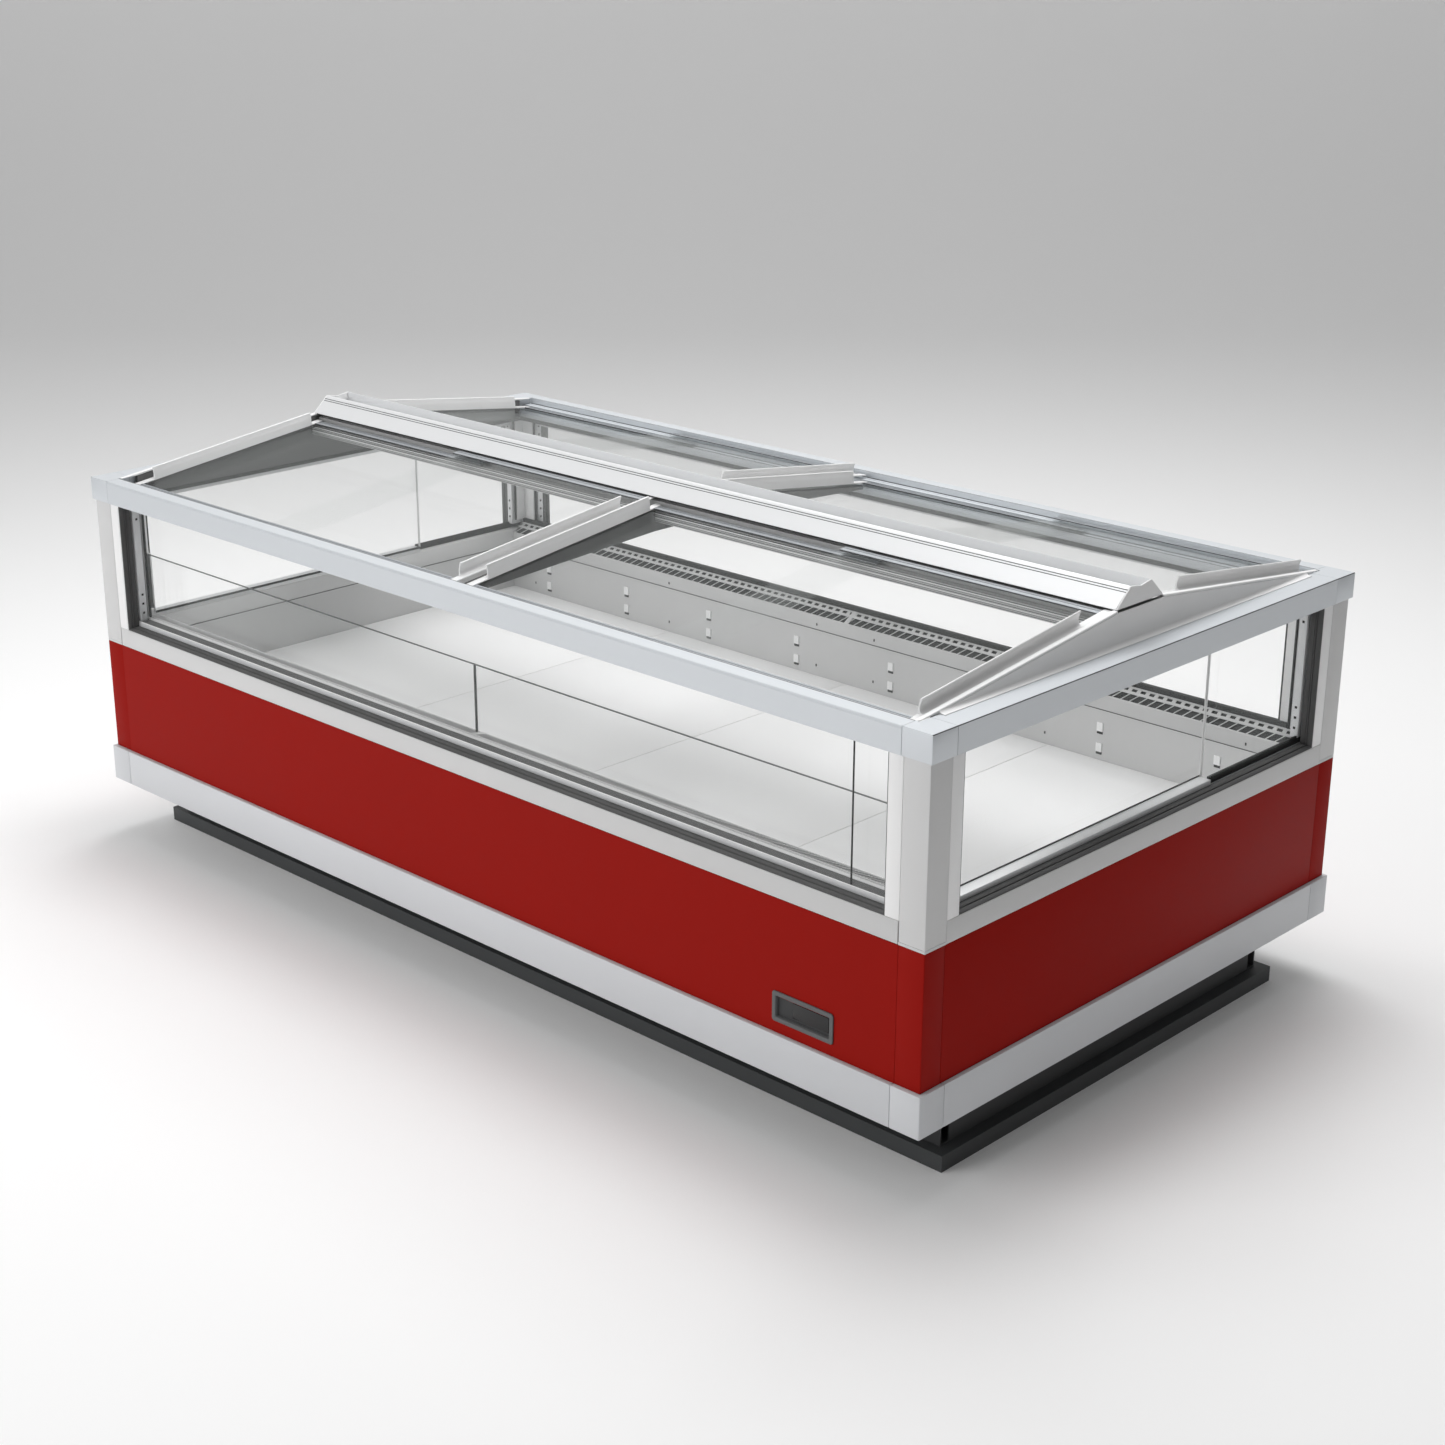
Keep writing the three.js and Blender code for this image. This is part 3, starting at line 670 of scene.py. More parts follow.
# ribbed seal round each window, from the skin back to the outer pane
SEAL_PROFILE = [
    (1.5, 0.2), (1.5, 2.0), (3.0, 3.2), (10.5, 4.0), (11.2, 3.0), (12.2, 3.0), (12.9, 5.4), (14.8, 5.6),
    (15.5, 3.4), (16.5, 3.4), (17.2, 4.6), (26.5, 6.0), (26.7, 0.2),
]
SEAL_PROFILE = [(depth * MM, inset * MM) for depth, inset in SEAL_PROFILE]
for side, sign in SIDES:
    seal = Piece(f"window_seal_{side}", GASKET)
    frame_ring(seal, SEAL_PROFILE, "Y", SKIN_Y, WINDOW_X + 1 * MM, (SILL_TOP, UNDER_BEAM), sign)
    seal.done()
for side, sign in ENDS:
    seal = Piece(f"window_seal_{side}", GASKET)
    frame_ring(seal, SEAL_PROFILE, "X", SKIN_X, WINDOW_Y + 1 * MM, (SILL_TOP, UNDER_BEAM), sign)
    seal.done()

# ---- double glazing ------------------------------------------------------------------------------
PANE_THICK = 5 * MM
SPACER = 12 * MM
SPACER_REACH = 8 * MM  # how far the upright spacers show inside the opening
LEDGE = GLASS_LOW + SPACER
INNER_PANE_END = 240 * MM  # where the inner pane of an end window stops


def window(side, sign, long_side):
    """Two panes, the spacer bars between them with their pin holes, and the seal at the inner foot."""
    skin, half, opening = (SKIN_Y, SEAM_X, WINDOW_X) if long_side else (SKIN_X, SEAM_Y, WINDOW_Y)
    node = f"glazing_{side}"

    def slab(piece, depth, span, z, bevel=0.0):
        across = (sign * (skin - depth[0]), sign * (skin - depth[1]))
        x, y = (span, across) if long_side else (across, span)
        piece.block(x, y, z, bevel)

    end = half - 1 * MM
    unit = Piece(f"sealed_unit_{side}", PANE)
    inner_end = end if long_side else INNER_PANE_END
    slab(unit, (GLASS_OUT, GLASS_IN), (-end, inner_end), (GLASS_LOW, GLASS_TOP))
    if not long_side:
        slab(unit, (GLASS_OUT, GLASS_OUT + PANE_THICK), (inner_end + 2 * MM, end), (GLASS_LOW, GLASS_TOP))
    unit.done("window_glass", [node])
    gap = (GLASS_OUT + PANE_THICK, GLASS_IN - PANE_THICK)
    spacer = Piece(f"spacer_{side}", SPACER_METAL)
    if long_side:
        bead = Piece(f"spacer_bead_{side}", TRIM_WHITE)
        slab(bead, off(GLASS_OUT, 0.3, 2.5), (-end, end), off(LEDGE, 0, 1.5), 0.5 * MM)
        bead.done()
        slots = Piece(f"spacer_slots_{side}", GASKET)
        slab(slots, (GLASS_OUT + 3 * MM, GLASS_IN - 0.3 * MM), (-end, end), off(LEDGE, 0, 0.4))
        middle = sign * (skin - (gap[0] + gap[1]) / 2)
        size = mm(9, 1.6, 0.6)
        add_row(slots, 80, (-1165 * MM, middle, LEDGE + 0.5 * MM), (29.5 * MM, 0, 0), size, turn=(0, 0, 0.9))
        slots.done()
    slab(
        spacer, (GLASS_OUT + 0.2 * MM, GLASS_IN - 0.2 * MM), (-end, inner_end),
        (GLASS_LOW, LEDGE - 0.1 * MM), 0.5 * MM,
    )
    for way in (-1, 1):
        span = tuple(sorted((way * (opening - SPACER_REACH), way * end)))
        slab(spacer, gap, span, (LEDGE, GLASS_TOP - SPACER), 0.5 * MM)
    slab(spacer, gap, (-end, end), (GLASS_TOP - SPACER, GLASS_TOP), 0.5 * MM)
    spacer.done("beam_aluminium")
    holes = Piece(f"spacer_holes_{side}", BLACK)
    middle = sign * (skin - (gap[0] + gap[1]) / 2)
    for way in (-1, 1):
        at = way * (opening - SPACER_REACH)
        size = mm(1, 5, 5) if long_side else mm(5, 1, 5)
        start = (at, middle, LEDGE + 20 * MM) if long_side else (middle, at, LEDGE + 20 * MM)
        for count, lift in ((3, 0.0), (2, 225 * MM)):
            spot = (start[0], start[1], start[2] + lift)
            add_row(holes, count, spot, (0, 0, 22 * MM), size)
    holes.done()
    if not long_side:
        foot = Piece(f"inner_seal_{side}", BLACK)
        slab(foot, off(GLASS_IN, -1, 1.2), (-end, inner_end), off(LEDGE, -3, 2), 0.3 * MM)
        slab(foot, off(GLASS_OUT, 6, 10), (inner_end, end), (GLASS_LOW, LEDGE + 4 * MM), 0.5 * MM)
        foot.done()
        edge = Piece(f"pane_joint_{side}", HANDLE_WHITE)
        slab(edge, off(GLASS_IN, -5.2, 0.2), (inner_end, inner_end + 2 * MM), (LEDGE, GLASS_TOP))
        edge.done()


for side, sign in SIDES:
    window(side, sign, True)
for side, sign in ENDS:
    window(side, sign, False)

# the black seal that holds the foot of the inner pane at the back
seal = Piece("inner_seal_back", BLACK)
seal.block(centred(WELL_X, 2), off(SKIN_Y, -67, -54.5), (SILL_TOP + 15.2 * MM, 553 * MM), 1.5 * MM, 3)
seal.done()
# upright black seal in the front window
seal = Piece("upright_seal_front", BLACK)
seal.block(mm(1048.5, 1051.5), off(-SKIN_Y, 32.5, 34.5), (LEDGE, GLASS_TOP), 0.4 * MM)
seal.done()

# ---- inner glass along the front -----------------------------------------------------------------
riser = Piece("riser_panes", PANE)
riser_edge = Piece("riser_edges", PANE_EDGE)
RISER_REACH = high("riser_glass").x
for start, end in ((-RISER_REACH, -0.6 * MM), (0.6 * MM, RISER_REACH)):
    riser.block((start, end), (-RISER_OUT, -RISER_IN), (RISER_LOW, RISER_TOP - 0.5 * MM))
    riser_edge.block((start, end), (-RISER_OUT, -RISER_IN), (RISER_TOP - 0.5 * MM, RISER_TOP), 0.2 * MM)
riser_edge.block(mm(-0.5, 0.5), (-RISER_OUT, -RISER_IN), (RISER_LOW, RISER_TOP - 1 * MM))
riser.done("window_glass", ["riser_glass"])
riser_edge.done()
for side, sign in ENDS:
    clamp = Piece(f"riser_clamp_{side}", WHITE)
    x = (sign * (RISER_REACH - 8 * MM), sign * (WELL_X - 0.5 * MM))
    for y in (off(-RISER_OUT, -5, -0.4), off(-RISER_IN, 0.4, 5)):
        clamp.block(x, y, (542 * MM, RISER_TOP), 0.8 * MM)
    clamp.block(x, (-RISER_OUT - 6 * MM, -RISER_IN + 6 * MM), mm(536, 556), 2 * MM, 3)
    clamp.done("white_frame")

# ---- corner columns inside the glass -------------------------------------------------------------
COLUMN_FOOT = 545 * MM
RETURN_FOOT = 552 * MM  # the part of a column that turns inwards starts higher

for depth, way in SIDES:
    for side, sign in ENDS:
        column = Piece(f"inner_column_{depth}_{side}", WHITE)
        z, z_return = (COLUMN_FOOT, GLASS_TOP), (RETURN_FOOT, GLASS_TOP)
        column.block(off(WELL_X, -42, -0.6, sign), off(SKIN_Y, -62, -55, way), z, 1 * MM)
        column.block(off(WELL_X, -7, -0.6, sign), off(SKIN_Y, -90, -62.3, way), z_return, 1 * MM)
        column.done("white_frame")
        strip = Piece(f"column_seal_{depth}_{side}", BLACK)
        strip.block(off(WELL_X, -47, -42.4, sign), off(SKIN_Y, -60, -55, way), z, 0.8 * MM)
        strip.block(off(WELL_X, -5, -0.6, sign), off(SKIN_Y, -95, -90.4, way), z_return, 0.8 * MM)
        strip.done()

# ---- top beams -----------------------------------------------------------------------------------
EAVE, MID_TRACK, FASCIA = BEAM_Y - 36 * MM, BEAM_Y - 59 * MM, low("beam_back").y
UPPER_TRACK, LOWER_TRACK = BEAM_LOW + 37.9 * MM, BEAM_LOW + 28.2 * MM


def beam_outline():
    """Section of a long beam: outer bead, flat top, two stepped tracks with hair grooves."""
    groove = 0.7 * MM
    points = [
        (BEAM_Y, BEAM_LOW), (BEAM_Y, BEAM_TOP - 5.2 * MM), (BEAM_Y - groove, BEAM_TOP - 4.8 * MM),
        (BEAM_Y - groove, BEAM_TOP - 4.2 * MM), (BEAM_Y, BEAM_TOP - 3.8 * MM), (
            BEAM_Y - 0.2 * MM, BEAM_TOP - 1.4 * MM,
        ),
        (BEAM_Y - 1.4 * MM, BEAM_TOP), (EAVE, BEAM_TOP), (EAVE, UPPER_TRACK),
    ]
    for track, outer, inner in ((UPPER_TRACK, EAVE, MID_TRACK), (LOWER_TRACK, MID_TRACK, FASCIA)):
        middle = (outer + inner) / 2
        points += [
            (middle + 1.2 * MM, track), (middle + 1.2 * MM, track - 1.5 * MM),
            (middle - 1.2 * MM, track - 1.5 * MM), (middle - 1.2 * MM, track), (inner, track),
        ]
        if track == UPPER_TRACK:
            points.append((inner, LOWER_TRACK))
    line = BEAM_LOW + 17 * MM
    points += [
        (FASCIA, line + 0.6 * MM), (FASCIA + 1.2 * MM, line + 0.6 * MM), (FASCIA + 1.2 * MM, line - 0.6 * MM),
        (FASCIA, line - 0.6 * MM), (FASCIA, BEAM_LOW),
    ]
    return points


for side, sign in SIDES:
    beam = Piece(f"beam_{side}_profile", BEAM_ALONG_X)
    seam = high("beam_front").x
    beam.prism(beam_outline(), "X", -seam + 0.2 * MM, seam - 0.2 * MM, flip=(sign, 1))
    beam.done("beam_aluminium", [f"beam_{side}"])
    line = Piece(f"track_lines_{side}", TRACK_LINE)
    outer, mid, inner = EAVE - 0.8 * MM, MID_TRACK - 0.8 * MM, FASCIA + 1 * MM
    for y, z in ((outer, UPPER_TRACK), (mid, LOWER_TRACK), (inner, LOWER_TRACK)):
        line.block(centred(seam, 1), off(y, -0.7, 0.7, sign), (z, z + 1 * MM))
    line.block(centred(seam, 1), off(EAVE, 0.4, 2, sign), off(BEAM_TOP, -1, 0.2))
    line.done()
    seal = Piece(f"beam_seal_{side}", BLACK)
    seal.block(centred(WELL_X), off(FASCIA, -2.5, -0.2, sign), off(BEAM_LOW, 0, 10), 0.6 * MM)
    seal.done()

BEAM_SEAM_Y = 602 * MM
BEAM_SEAM_X = low("beam_right").x
END_INNER = BEAM_X - 57.7 * MM
for side, sign in ENDS:
    beam = Piece(f"beam_{side}_profile", BEAM_ALONG_Y)
    rebate = 1.6 * MM
    outline = [
        (BEAM_X, BEAM_LOW), (BEAM_X, BEAM_TOP - rebate), (BEAM_X - rebate, BEAM_TOP - rebate),
        (BEAM_X - rebate, BEAM_TOP), (END_INNER, BEAM_TOP), (END_INNER, BEAM_LOW),
    ]
    beam.prism(outline, "Y", -BEAM_SEAM_Y + SEAM, BEAM_SEAM_Y - SEAM, flip=(sign, 1))
    beam.done("beam_aluminium", [f"beam_{side}"])
    # dark strip in the rebate along the top outer edge: painted shade in the groove
    line = Piece(f"beam_groove_shade_{side}", PANE_EDGE)
    line.block(
        off(BEAM_X, -1.5, -0.3, sign), centred(BEAM_Y, 1),
        off(BEAM_TOP, -1.6, -0.3),
    )
    line.done()
    for depth, way in SIDES:
        cap = Piece(f"beam_corner_{depth}_{side}", BEAM_ALONG_X)
        plan = corner_plan(BEAM_X, BEAM_Y, END_INNER, EAVE, BEAM_SEAM_X + SEAM, BEAM_SEAM_Y + SEAM, 1 * MM)
        cap.prism(plan, "Z", BEAM_LOW, BEAM_TOP - rebate, 0.4 * MM, flip=(sign, way), angle=40)
        lid_plan = corner_plan(
            BEAM_X - rebate, BEAM_Y - 0.6 * MM, END_INNER, EAVE, BEAM_SEAM_X + SEAM, BEAM_SEAM_Y + SEAM,
            1 * MM,
        )
        cap.prism(lid_plan, "Z", BEAM_TOP - rebate, BEAM_TOP, flip=(sign, way))
        cap.done("beam_aluminium")

# ---- gables --------------------------------------------------------------------------------------
GABLE_IN, GABLE_OUT, GABLE_TOE = low("gable_right").x, 1191 * MM, high("gable_right").x
GABLE_LOW, GABLE_PEAK, GABLE_EAVE = low("gable_right").z, high("gable_right").z, high("gable_right").y
ON_BEAM = BEAM_TOP + 0.3 * MM


def both(half):
    return half + [(-u, v) for u, v in reversed(half)]


GABLE_RISE = (GABLE_PEAK - ON_BEAM) / (GABLE_EAVE - RIDGE_HALF)
EDGE_DEEP = 5 * MM
TOE_HIGH = 5 * MM


def under_roof(drop):
    """The eave and ridge ends of a line that lies so far below the gable's sloping edge."""
    return [(GABLE_EAVE - drop / GABLE_RISE, ON_BEAM), (RIDGE_HALF, GABLE_PEAK - drop)]


for side, sign in ENDS:
    cover = Piece(f"gable_{side}_cover", GABLE_GREY)
    cover.prism(both(under_roof(EDGE_DEEP)), "X", sign * (GABLE_OUT - 3 * MM), sign * GABLE_OUT)
    toe = [(GABLE_OUT - 2 * MM, ON_BEAM), (GABLE_TOE - 0.5 * MM, ON_BEAM), (GABLE_TOE, ON_BEAM + 0.6 * MM)]
    for index in range(6):
        angle = index / 5 * math.pi / 2
        run = (GABLE_TOE - GABLE_OUT - 1 * MM) * math.sin(angle)
        rise = (TOE_HIGH - 1 * MM) * (1 - math.cos(angle))
        toe.append((GABLE_TOE - 0.5 * MM - run, ON_BEAM + 1 * MM + rise))
    toe.append((GABLE_OUT - 2 * MM, ON_BEAM + TOE_HIGH))
    cover.prism(toe, "Y", -GABLE_EAVE + 50 * MM, GABLE_EAVE - 50 * MM, flip=(sign, 1))
    cover.done("gable_grey", [f"gable_{side}"])
    edge = Piece(f"gable_{side}_edge", TRIM_WHITE)
    strip = under_roof(0) + list(reversed(under_roof(EDGE_DEEP - 0.2 * MM)))
    for way in (-1, 1):
        edge.prism(strip, "X", sign * (GABLE_IN + 0.3 * MM), sign * GABLE_OUT, 1.8 * MM, 3, flip=(way, 1))
    edge.done("gable_grey")
    liner = Piece(f"gable_{side}_liner", INNER_DARK)
    half = 588 * MM
    upright = [(half, GABLE_LOW + 8 * MM), (half, ON_BEAM - 0.2 * MM)]
    inner_face = both(upright + under_roof(EDGE_DEEP + 0.4 * MM))
    liner.prism(inner_face, "X", sign * GABLE_IN, sign * (GABLE_OUT - 3.2 * MM))
    # embossed rib that follows the roof line
    rib = [(half - 30 * MM, 852 * MM), (half - 30 * MM, 855 * MM), mm(95, 914), mm(95, 911)]
    for way in (-1, 1):
        liner.prism(
            rib, "X", sign * (GABLE_IN - 1.2 * MM), sign * (GABLE_IN + 1 * MM), 0.5 * MM, flip=(way, 1),
        )
    liner.done()
    seal = Piece(f"gable_{side}_seal", BLACK)
    seal.block(
        (sign * (GABLE_IN - 2.5 * MM), sign * (GABLE_OUT - 2 * MM)), (-half, half),
        off(GABLE_LOW, 0, 7.6), 0.6 * MM,
    )
    seal.done()

# ---- ridge ---------------------------------------------------------------------------------------
SHOULDER, TROUGH, TROUGH_FLOOR = 33.5 * MM, 30 * MM, RIDGE_LOW + 6.1 * MM


def ridge_half():
    """Half section of the ridge cap, with a pair of hair grooves high on the slope."""
    foot, top = Vector((RIDGE_HALF, RIDGE_LOW)), Vector((SHOULDER, RIDGE_TOP))
    along = top - foot
    normal = Vector((-along.y, along.x)).normalized() * -1
    normal = normal if normal.x > 0 else -normal
    points = [(foot.x, foot.y), (foot.x, foot.y + 1 * MM)]
    for share in (0.74, 0.84):
        for offset, sink in ((-0.018, 0), (-0.012, 1.1), (0.012, 1.1), (0.018, 0)):
            spot = foot + along * (share + offset) - normal * sink * MM
            points.append((spot.x, spot.y))
    points += [(SHOULDER + 0.6 * MM, RIDGE_TOP - 0.5 * MM), (SHOULDER - 0.6 * MM, RIDGE_TOP)]
    points += [(TROUGH, RIDGE_TOP), (TROUGH, TROUGH_FLOOR)]
    return points


cap = Piece("ridge_cap_profile", RIDGE_METAL)
cap.prism(both(ridge_half()), "X", -RIDGE_END + 3.2 * MM, RIDGE_END - 3.2 * MM)
cap.done("ridge_aluminium", ["ridge_cap"])
lines = Piece("ridge_cap_lines", TRACK_LINE)
foot, top = Vector((RIDGE_HALF, RIDGE_LOW)), Vector((SHOULDER, RIDGE_TOP))
across = (top - foot).normalized()
out = Vector((-across.y, across.x)) * (1 if across.y < 0 else -1)
for share in (0.74, 0.84):
    middle = foot + (top - foot) * share
    section = ((-0.9, -0.35), (0.9, -0.35), (0.9, -0.9), (-0.9, -0.9))
    corners = [middle + across * a * MM + out * b * MM for a, b in section]
    for way in (-1, 1):
        lines.prism(
            [(c.x, c.y) for c in corners], "X", -RIDGE_END + 3.4 * MM, RIDGE_END - 3.4 * MM,
            flip=(way, 1),
        )
lines.done()
SCREW_RADIUS = 2.6 * MM
for side, sign in ENDS:
    plate = Piece(f"ridge_end_{side}", GABLE_GREY)
    top_edge = [(SHOULDER, RIDGE_TOP), (SHOULDER - 6 * MM, RIDGE_TOP), (0, RIDGE_TOP - 5 * MM)]
    face = both([(RIDGE_HALF, RIDGE_LOW)] + top_edge)
    plate.prism(face, "X", sign * (RIDGE_END - 3 * MM), sign * RIDGE_END, 0.8 * MM)
    plate.done("gable_grey")
    screws = Piece(f"ridge_screws_{side}", BLACK)
    for way in (-1, 1):
        ring = []
        for step in range(12):
            angle = step * math.pi / 6
            u = way * 33 * MM + SCREW_RADIUS * math.cos(angle)
            ring.append((u, RIDGE_TOP - 9 * MM + SCREW_RADIUS * math.sin(angle)))
        screws.prism(ring, "X", sign * (RIDGE_END - 1 * MM), sign * RIDGE_END + sign * -0.1 * MM)
    screws.done()

rail = Piece("ridge_rail_profile", RAIL_METAL)
RAIL_END = high("ridge_rail").x
RAIL_LOW = low("ridge_rail").z


def rail_half():
    base = RAIL_LOW
    steps = [(88, 0), (88, 23.5), (80, 23.5), (80, 22), (76, 22), (76, 23.5)]
    steps += [(66, 23.5), (66, 38.4), (58, 38.4), (58, 37), (54, 37), (54, 38.4), (38, 38.4), (38, 48.3)]
    return [(u * MM, base + v * MM) for u, v in steps]


rail.prism(both(rail_half()), "X", -RAIL_END, RAIL_END)
rail.done("ridge_aluminium", ["ridge_rail"])
RAIL_FACE = 87.6 * MM


def rail_strips(name, material, strips, face, bevel=0.0):
    """Strips along both upright faces of the rail: start above its foot and height, millimetres."""
    piece = Piece(name, material)
    for start, deep in strips:
        z = (RAIL_LOW + start * MM, RAIL_LOW + (start + deep) * MM)
        for way in (-1, 1):
            piece.block(centred(RAIL_END), (way * RAIL_FACE, way * face), z, bevel)
    piece.done()


rail_strips(
    "ridge_rail_lines", TRACK_LINE, ((2.0, 1.4), (5.6, 0.8), (11.0, 1.6), (15.0, 0.8), (19.6, 1.8)), 88.3 * MM
)
rail_strips("ridge_rail_beads", TRIM_WHITE, ((7.6, 1.3), (17.4, 1.3)), 88.6 * MM, 0.4 * MM)

# ---- sliding lids --------------------------------------------------------------------------------
LID_SLOPE = 0.1287
GLASS_THICK = 4 * MM


GRIP_WIDE = 17.5
FLANGE = [(0, 0), (GRIP_WIDE, 0), (GRIP_WIDE, 2.0), (GRIP_WIDE - 0.6, 2.5), (0.6, 2.5), (0, 2.0)]


def handle_outline():
    """Section of the grip, (distance from the lid's edge, height): flange, hollow blade, round lip."""
    points = [(0, 0), (GRIP_WIDE, 0), (GRIP_WIDE, 3.0), (17.3, 8), (17.0, 14), (16.2, 20), (14.6, 25)]
    lip_at, lip_round = (12.0, 28.0), 2.4
    for index in range(9):
        angle = math.radians(-10 + 205 * index / 8)
        points.append((lip_at[0] + lip_round * math.cos(angle), lip_at[1] + lip_round * math.sin(angle)))
    points += [
        (10.9, 25.2), (12.6, 20.5), (13.7, 16), (14.0, 12), (13.6, 9), (12.4, 6.4), (10.4, 4.4),
        (7.6, 3.1),
    ]
    points += [(4.5, 2.6), (0.6, 2.5), (0, 2.0)]
    return [(u * MM, v * MM) for u, v in points]


def roof_lean(sign, eave, height):
    """Shear that lays a level prism on the roof slope, with height at the eave."""
    lean = Matrix.Identity(4)
    lean[2][1] = -LID_SLOPE * sign
    lean[2][3] = height + LID_SLOPE * eave
    return lean


# across an edge profile, from its outer side: start, width and height of each bead and joint
STRIPS = (
    (0.0, 5.6, 2.4, "bead"), (5.6, 1.2, 1.2, "joint"), (6.8, 4.6, 1.8, "bead"), (11.4, 1.2, 1.2, "joint"),
    (12.6, 4.4, 2.4, "bead"), (17.0, 1.2, 1.6, "joint"),
)


def lid(side, sign, index):
    name = f"lid_{side}_{index}"
    start, finish_x = low(name + "_glass"), high(name + "_glass")
    ridge, eave = sorted((abs(start.y), abs(finish_x.y)))
    lower = index in (1, 3)
    glass_top = start.z + GLASS_THICK  # top of the pane at the eave
    lean = roof_lean(sign, eave, glass_top)
    paint([name + "_glass"], LID_PANE)

    flange = Piece(name + "_flange", HANDLE_WHITE, name)
    fin_eave, fin_ridge = mm(555, 103) if lower else mm(597, 155)
    outline = handle_outline()
    at = start.x if lower else finish_x.x
    turn = 1 if lower else -1
    lift = 0.3 * MM
    full = [(at + turn * u, v + lift) for u, v in outline]
    base = [(at + turn * u * MM, v * MM + lift) for u, v in FLANGE]
    runs = (
        ((fin_ridge, fin_eave), full), ((ridge, fin_ridge - 0.05 * MM), base),
        ((fin_eave + 0.05 * MM, eave), base),
    )
    for y, shape in runs:
        span = sorted(sign * value for value in y)
        flange.prism(shape, "Y", span[0], span[1], tilt=lean)
    flange.done("lid_handle_white", [name + "_handle"])

    # edge profiles that run in the tracks: pale beads with dark joints between them
    guide = Piece(name + "_guides", TRACK_METAL, name)
    joint = Piece(name + "_joints", TRACK_LINE, name)
    clear = (GRIP_WIDE + 0.5) * MM
    x = (start.x + (clear if lower else 1 * MM), finish_x.x - (1 * MM if lower else clear))
    under_cap = RIDGE_HALF + 2 * MM
    for edge, way in ((eave - 0.5 * MM, -1), (max(ridge + 0.5 * MM, under_cap), 1)):
        for offset, width, tall, piece in STRIPS:
            y = (sign * (edge + way * offset * MM), sign * (edge + way * (offset + width) * MM))
            piece_here = guide if piece == "bead" else joint
            piece_here.block(x, y, (0.2 * MM, tall * MM), tilt=lean)
    guide.done("ridge_aluminium")
    joint.done()


for side, sign in SIDES:
    for index in range(1, 5):
        lid(side, sign, index)

brush = Piece("ridge_brushes", BLACK)
for sign in (-1, 1):
    brush.block(centred(RAIL_END), off(RIDGE_HALF, -4, -1, sign), off(RIDGE_LOW, -3.2, -0.1))
brush.done()

# ---- well ----------------------------------------------------------------------------------------
deck = Piece("deck_plates", DECK)
QUARTERS = [-WELL_X, -593.5 * MM, 3 * MM, 600 * MM, WELL_X]
for start, end in zip(QUARTERS, QUARTERS[1:]):
    deck.block((start + 0.8 * MM, end - 0.8 * MM), centred(WELL_Y), (DECK_LOW, DECK_TOP), 0.6 * MM)
deck.done("deck_white", ["deck"])

TAB_X, TAB_STEP = -1045 * MM, 297 * MM
for side, sign in SIDES:
    wall = sign * (WELL_Y + 0.3 * MM)
    tabs = Piece(f"shelf_tabs_{side}", TRIM_WHITE)
    # dark strips under the tabs are painted shadow below each tab; the long strip along the top of the tub is
    # the wall seam
    shade = Piece(f"tab_shadows_and_seam_{side}", VOID)
    for height in mm(446, 399):
        spot = (TAB_X, wall - sign * 1.5 * MM, height)
        add_row(tabs, 8, spot, (TAB_STEP, 0, 0), mm(15, 3, 20))
        spot = (TAB_X, wall - sign * 0.4 * MM, height - 13.5 * MM)
        add_row(shade, 8, spot, (TAB_STEP, 0, 0), mm(15, 0.8, 6))
    dots = Piece(f"wall_fixings_{side}", BLACK)
    for height in mm(396, 498.5):
        for start in mm(-1100, -592, 90):
            step = {-1100 * MM: 2198 * MM, -592 * MM: 1183 * MM, 90 * MM: -180 * MM}[start]
            add_row(
                dots, 2, (start, wall - sign * 0.4 * MM, height), (step, 0, 0),
                mm(3.4, 1.2, 6),
            )
    shade.block(centred(WELL_X), (wall + sign * 0.2 * MM, wall - sign * 0.3 * MM), off(LINER_TOP, -1.2, 0.4))
    tabs.done("tub_white")
    shade.done()
    dots.done()

seam = Piece("wall_seam_ends", VOID)
for sign in (-1, 1):
    seam.block(off(WELL_X, -0.1, 0.4, sign), centred(WELL_Y), off(LINER_TOP, -1.2, 0.4))
seam.done()

# ---- air grilles ---------------------------------------------------------------------------------
GRILLE_TOP = high("air_grille_back").z
GRILLE_IN, GRILLE_OUT = low("air_grille_back").y, high("air_grille_back").y


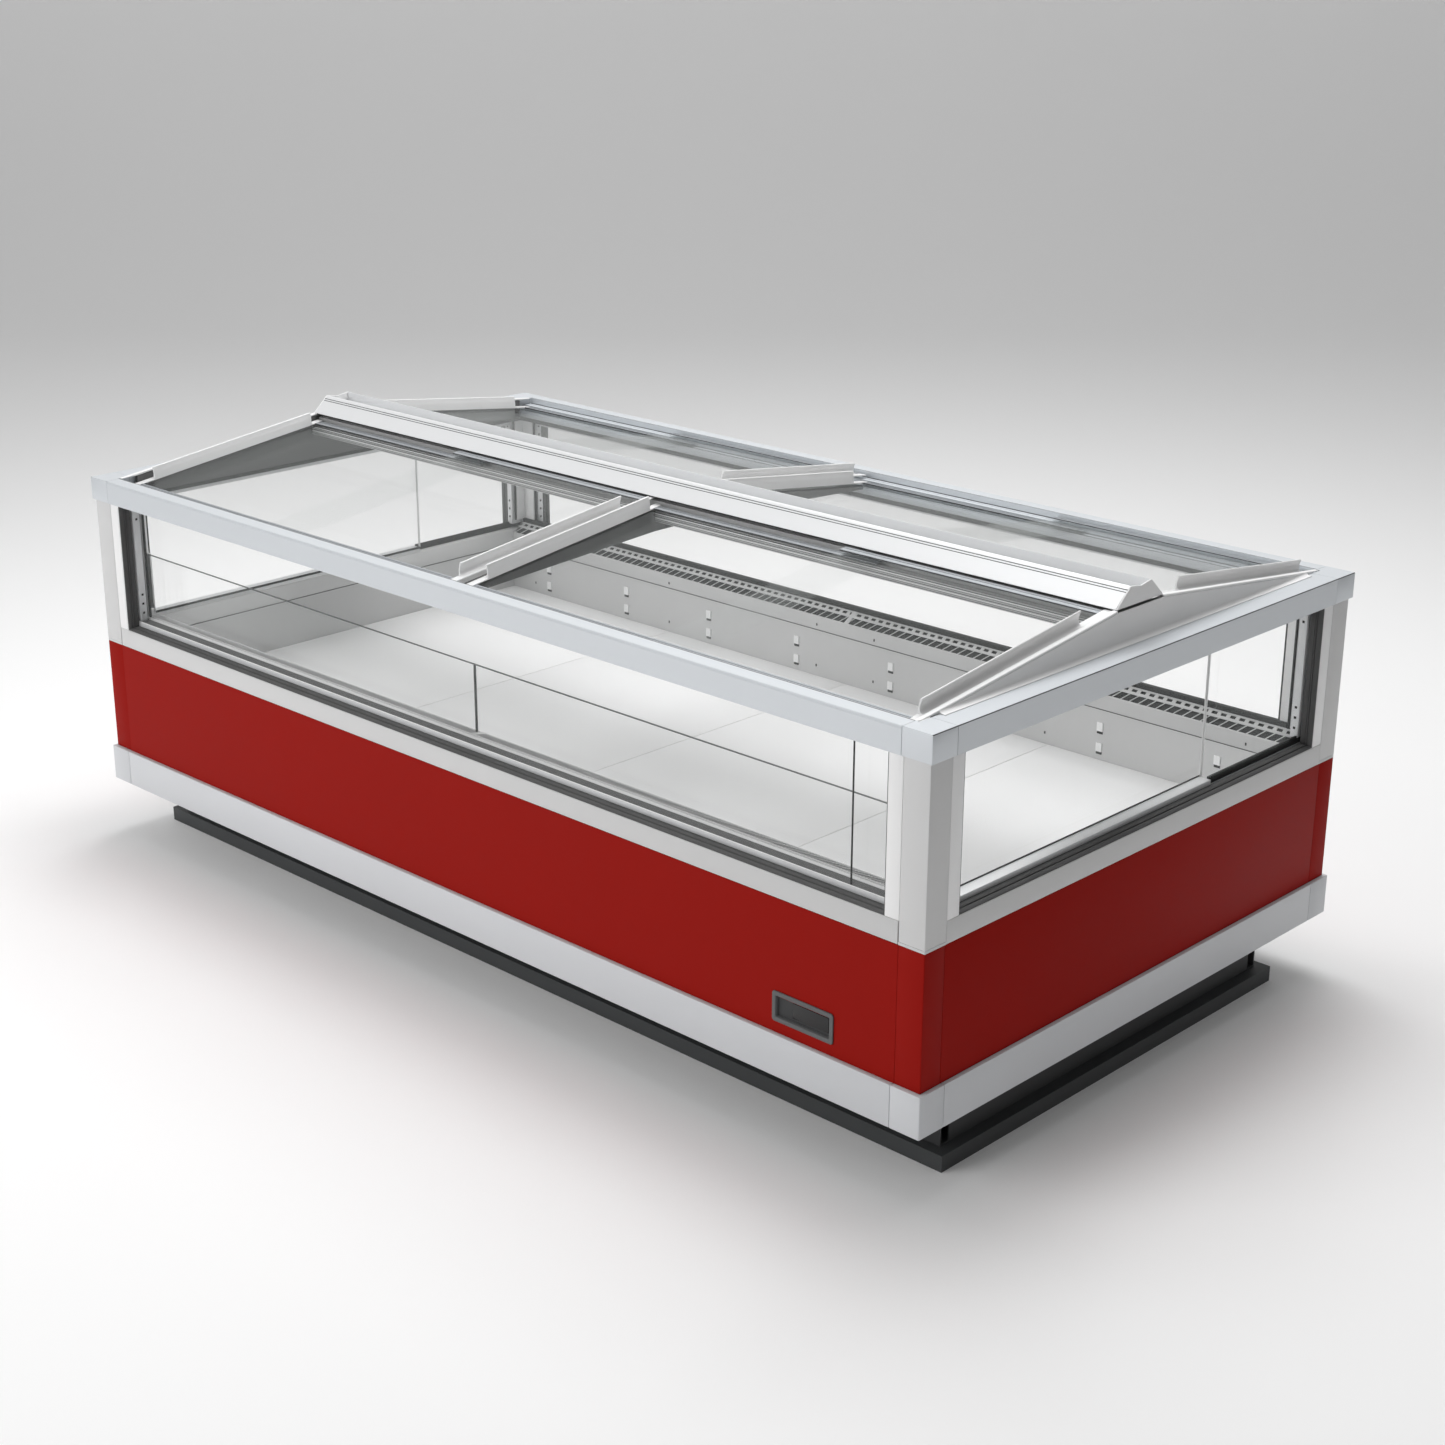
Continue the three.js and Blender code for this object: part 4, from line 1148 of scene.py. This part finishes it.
def air_grille(side, sign, foot, slot_rows):
    """A plain band, then a sheet that leans back, with rows of slots between plain strips."""
    fall = math.atan2(GRILLE_TOP - foot, GRILLE_OUT - GRILLE_IN)
    incline = math.hypot(GRILLE_TOP - foot, GRILLE_OUT - GRILLE_IN)
    lay = Matrix.Identity(4)
    lay[1][1], lay[1][2], lay[1][3] = sign * math.cos(fall), -sign * math.sin(fall), sign * GRILLE_IN
    lay[2][1], lay[2][2], lay[2][3] = math.sin(fall), math.cos(fall), foot
    # the sloping sheet and its bars take the darker grille grey as painted shade; the plain band keeps the
    # liner's own tone
    sheet = Piece(f"air_grille_{side}_sheet", SHADED_GRILLE)
    ends = centred(WELL_X, 0.5)
    band = Piece(f"air_grille_{side}_band", LINER)
    band.block(ends, (sign * GRILLE_IN, sign * (GRILLE_IN + 2 * MM)), (LINER_TOP + 0.5 * MM, foot), 0.5 * MM)
    band.done("grille_white")
    edge = 0.0
    for first, last, pitch, wide, slant in slot_rows:
        sheet.block(ends, (edge, first * MM), (-1.6 * MM, 0), 0.3 * MM, tilt=lay)
        edge = last * MM
        count = int((ends[1] - ends[0]) / (pitch * MM))
        start = (ends[0] + pitch / 2 * MM, (first + last) / 2 * MM, -0.8 * MM)
        size = (wide * MM, (last - first) * MM / math.cos(slant), 1.5 * MM)
        made = row(count, start, (pitch * MM, 0, 0), size, SHADED_GRILLE, (0, 0, slant * sign))
        made.transform(lay)
        sheet.mesh.from_mesh(made)
        bpy.data.meshes.remove(made)
    sheet.block(ends, (edge, incline), (-1.6 * MM, 0), 0.3 * MM, tilt=lay)
    # a joint in the middle of the length
    sheet.block(mm(-6, 6), (0, incline), mm(-1.7, 0.1), tilt=lay)
    bmesh.ops.recalc_face_normals(sheet.mesh, faces=sheet.mesh.faces)
    sheet.done("grille_white", [f"air_grille_{side}"])
    # dark sheet behind the slots: painted shade inside the duct
    dark = Piece(f"duct_{side}", VOID)
    dark.block(ends, (1 * MM, incline - 1 * MM), mm(-5, -4), tilt=lay)
    dark.done()


# first and last edge of each row up the slope, pitch, width of the bars left standing and their slant
air_grille("back", 1, LINER_TOP + 33.3 * MM, ((2.8, 22.7, 22.35, 2.0, -0.555), (29.8, 37.7, 22.35, 9.0, 0.0)))
air_grille("front", -1, LINER_TOP + 49.3 * MM, ((2.8, 31.0, 7.45, 2.2, 0.0),))

# ---- temperature display -------------------------------------------------------------------------
LOOK_LOW, LOOK_HIGH = low("display_bezel"), high("display_bezel")


def rounded(x, z, radius):
    points = []
    left, right, foot, head = x[0] + radius, x[1] - radius, z[0] + radius, z[1] - radius
    for turn, centre in enumerate(((right, head), (left, head), (left, foot), (right, foot))):
        for index in range(5):
            angle = math.radians(turn * 90 + index * 22.5)
            points.append((centre[0] + radius * math.cos(angle), centre[1] + radius * math.sin(angle)))
    return points


def bezel():
    """Rounded frame, lofted from its outer edge over a soft lip and down into the recess."""
    x, z = (LOOK_LOW.x, LOOK_HIGH.x), (LOOK_LOW.z, LOOK_HIGH.z)
    front = LOOK_LOW.y
    # how far in from the edge, how deep, and the corner radius
    stages = [(0, 3.0, 6), (0, 1.0, 6), (0.8, 0.2, 5.4), (2.0, 0, 5), (7.0, 0, 3)]
    stages += [(8.4, 0.5, 2.5), (9.2, 2.0, 2), (10.5, 5.6, 1.5), (10.5, 7.6, 1.5)]
    made = bmesh.new()
    loops = []
    for inset, depth, radius in stages:
        inset, depth, radius = inset * MM, depth * MM, radius * MM
        outline = rounded((x[0] + inset, x[1] - inset), (z[0] + inset, z[1] - inset), radius)
        loops.append([made.verts.new((u, front + depth, v)) for u, v in outline])
    count = len(loops[0])
    for first, second in zip(loops, loops[1:]):
        for index in range(count):
            following = (index + 1) % count
            made.faces.new((first[index], first[following], second[following], second[index]))
    made.faces.new(loops[-1])
    bmesh.ops.recalc_face_normals(made, faces=made.faces)
    return made


frame_piece = Piece("display_frame", BEZEL)
frame_piece.take(bezel())
frame_piece.done("display_frame", ["display_bezel"])
recess = Piece("display_recess", RECESS)
recess.block(
    (LOOK_LOW.x + 11 * MM, LOOK_HIGH.x - 11 * MM), (LOOK_LOW.y + 7.0 * MM, LOOK_LOW.y + 7.5 * MM),
    (LOOK_LOW.z + 11 * MM, LOOK_HIGH.z - 11 * MM),
)
recess.done()
screen = Piece("display_screen", SCREEN)
x = (LOOK_LOW.x + 47 * MM, LOOK_HIGH.x - 14 * MM)
screen.block(
    x, (LOOK_LOW.y + 5.0 * MM, LOOK_LOW.y + 6.9 * MM), (LOOK_LOW.z + 17 * MM, LOOK_HIGH.z - 13 * MM),
    0.5 * MM,
)
screen.done("display_dark", ["display_window"])
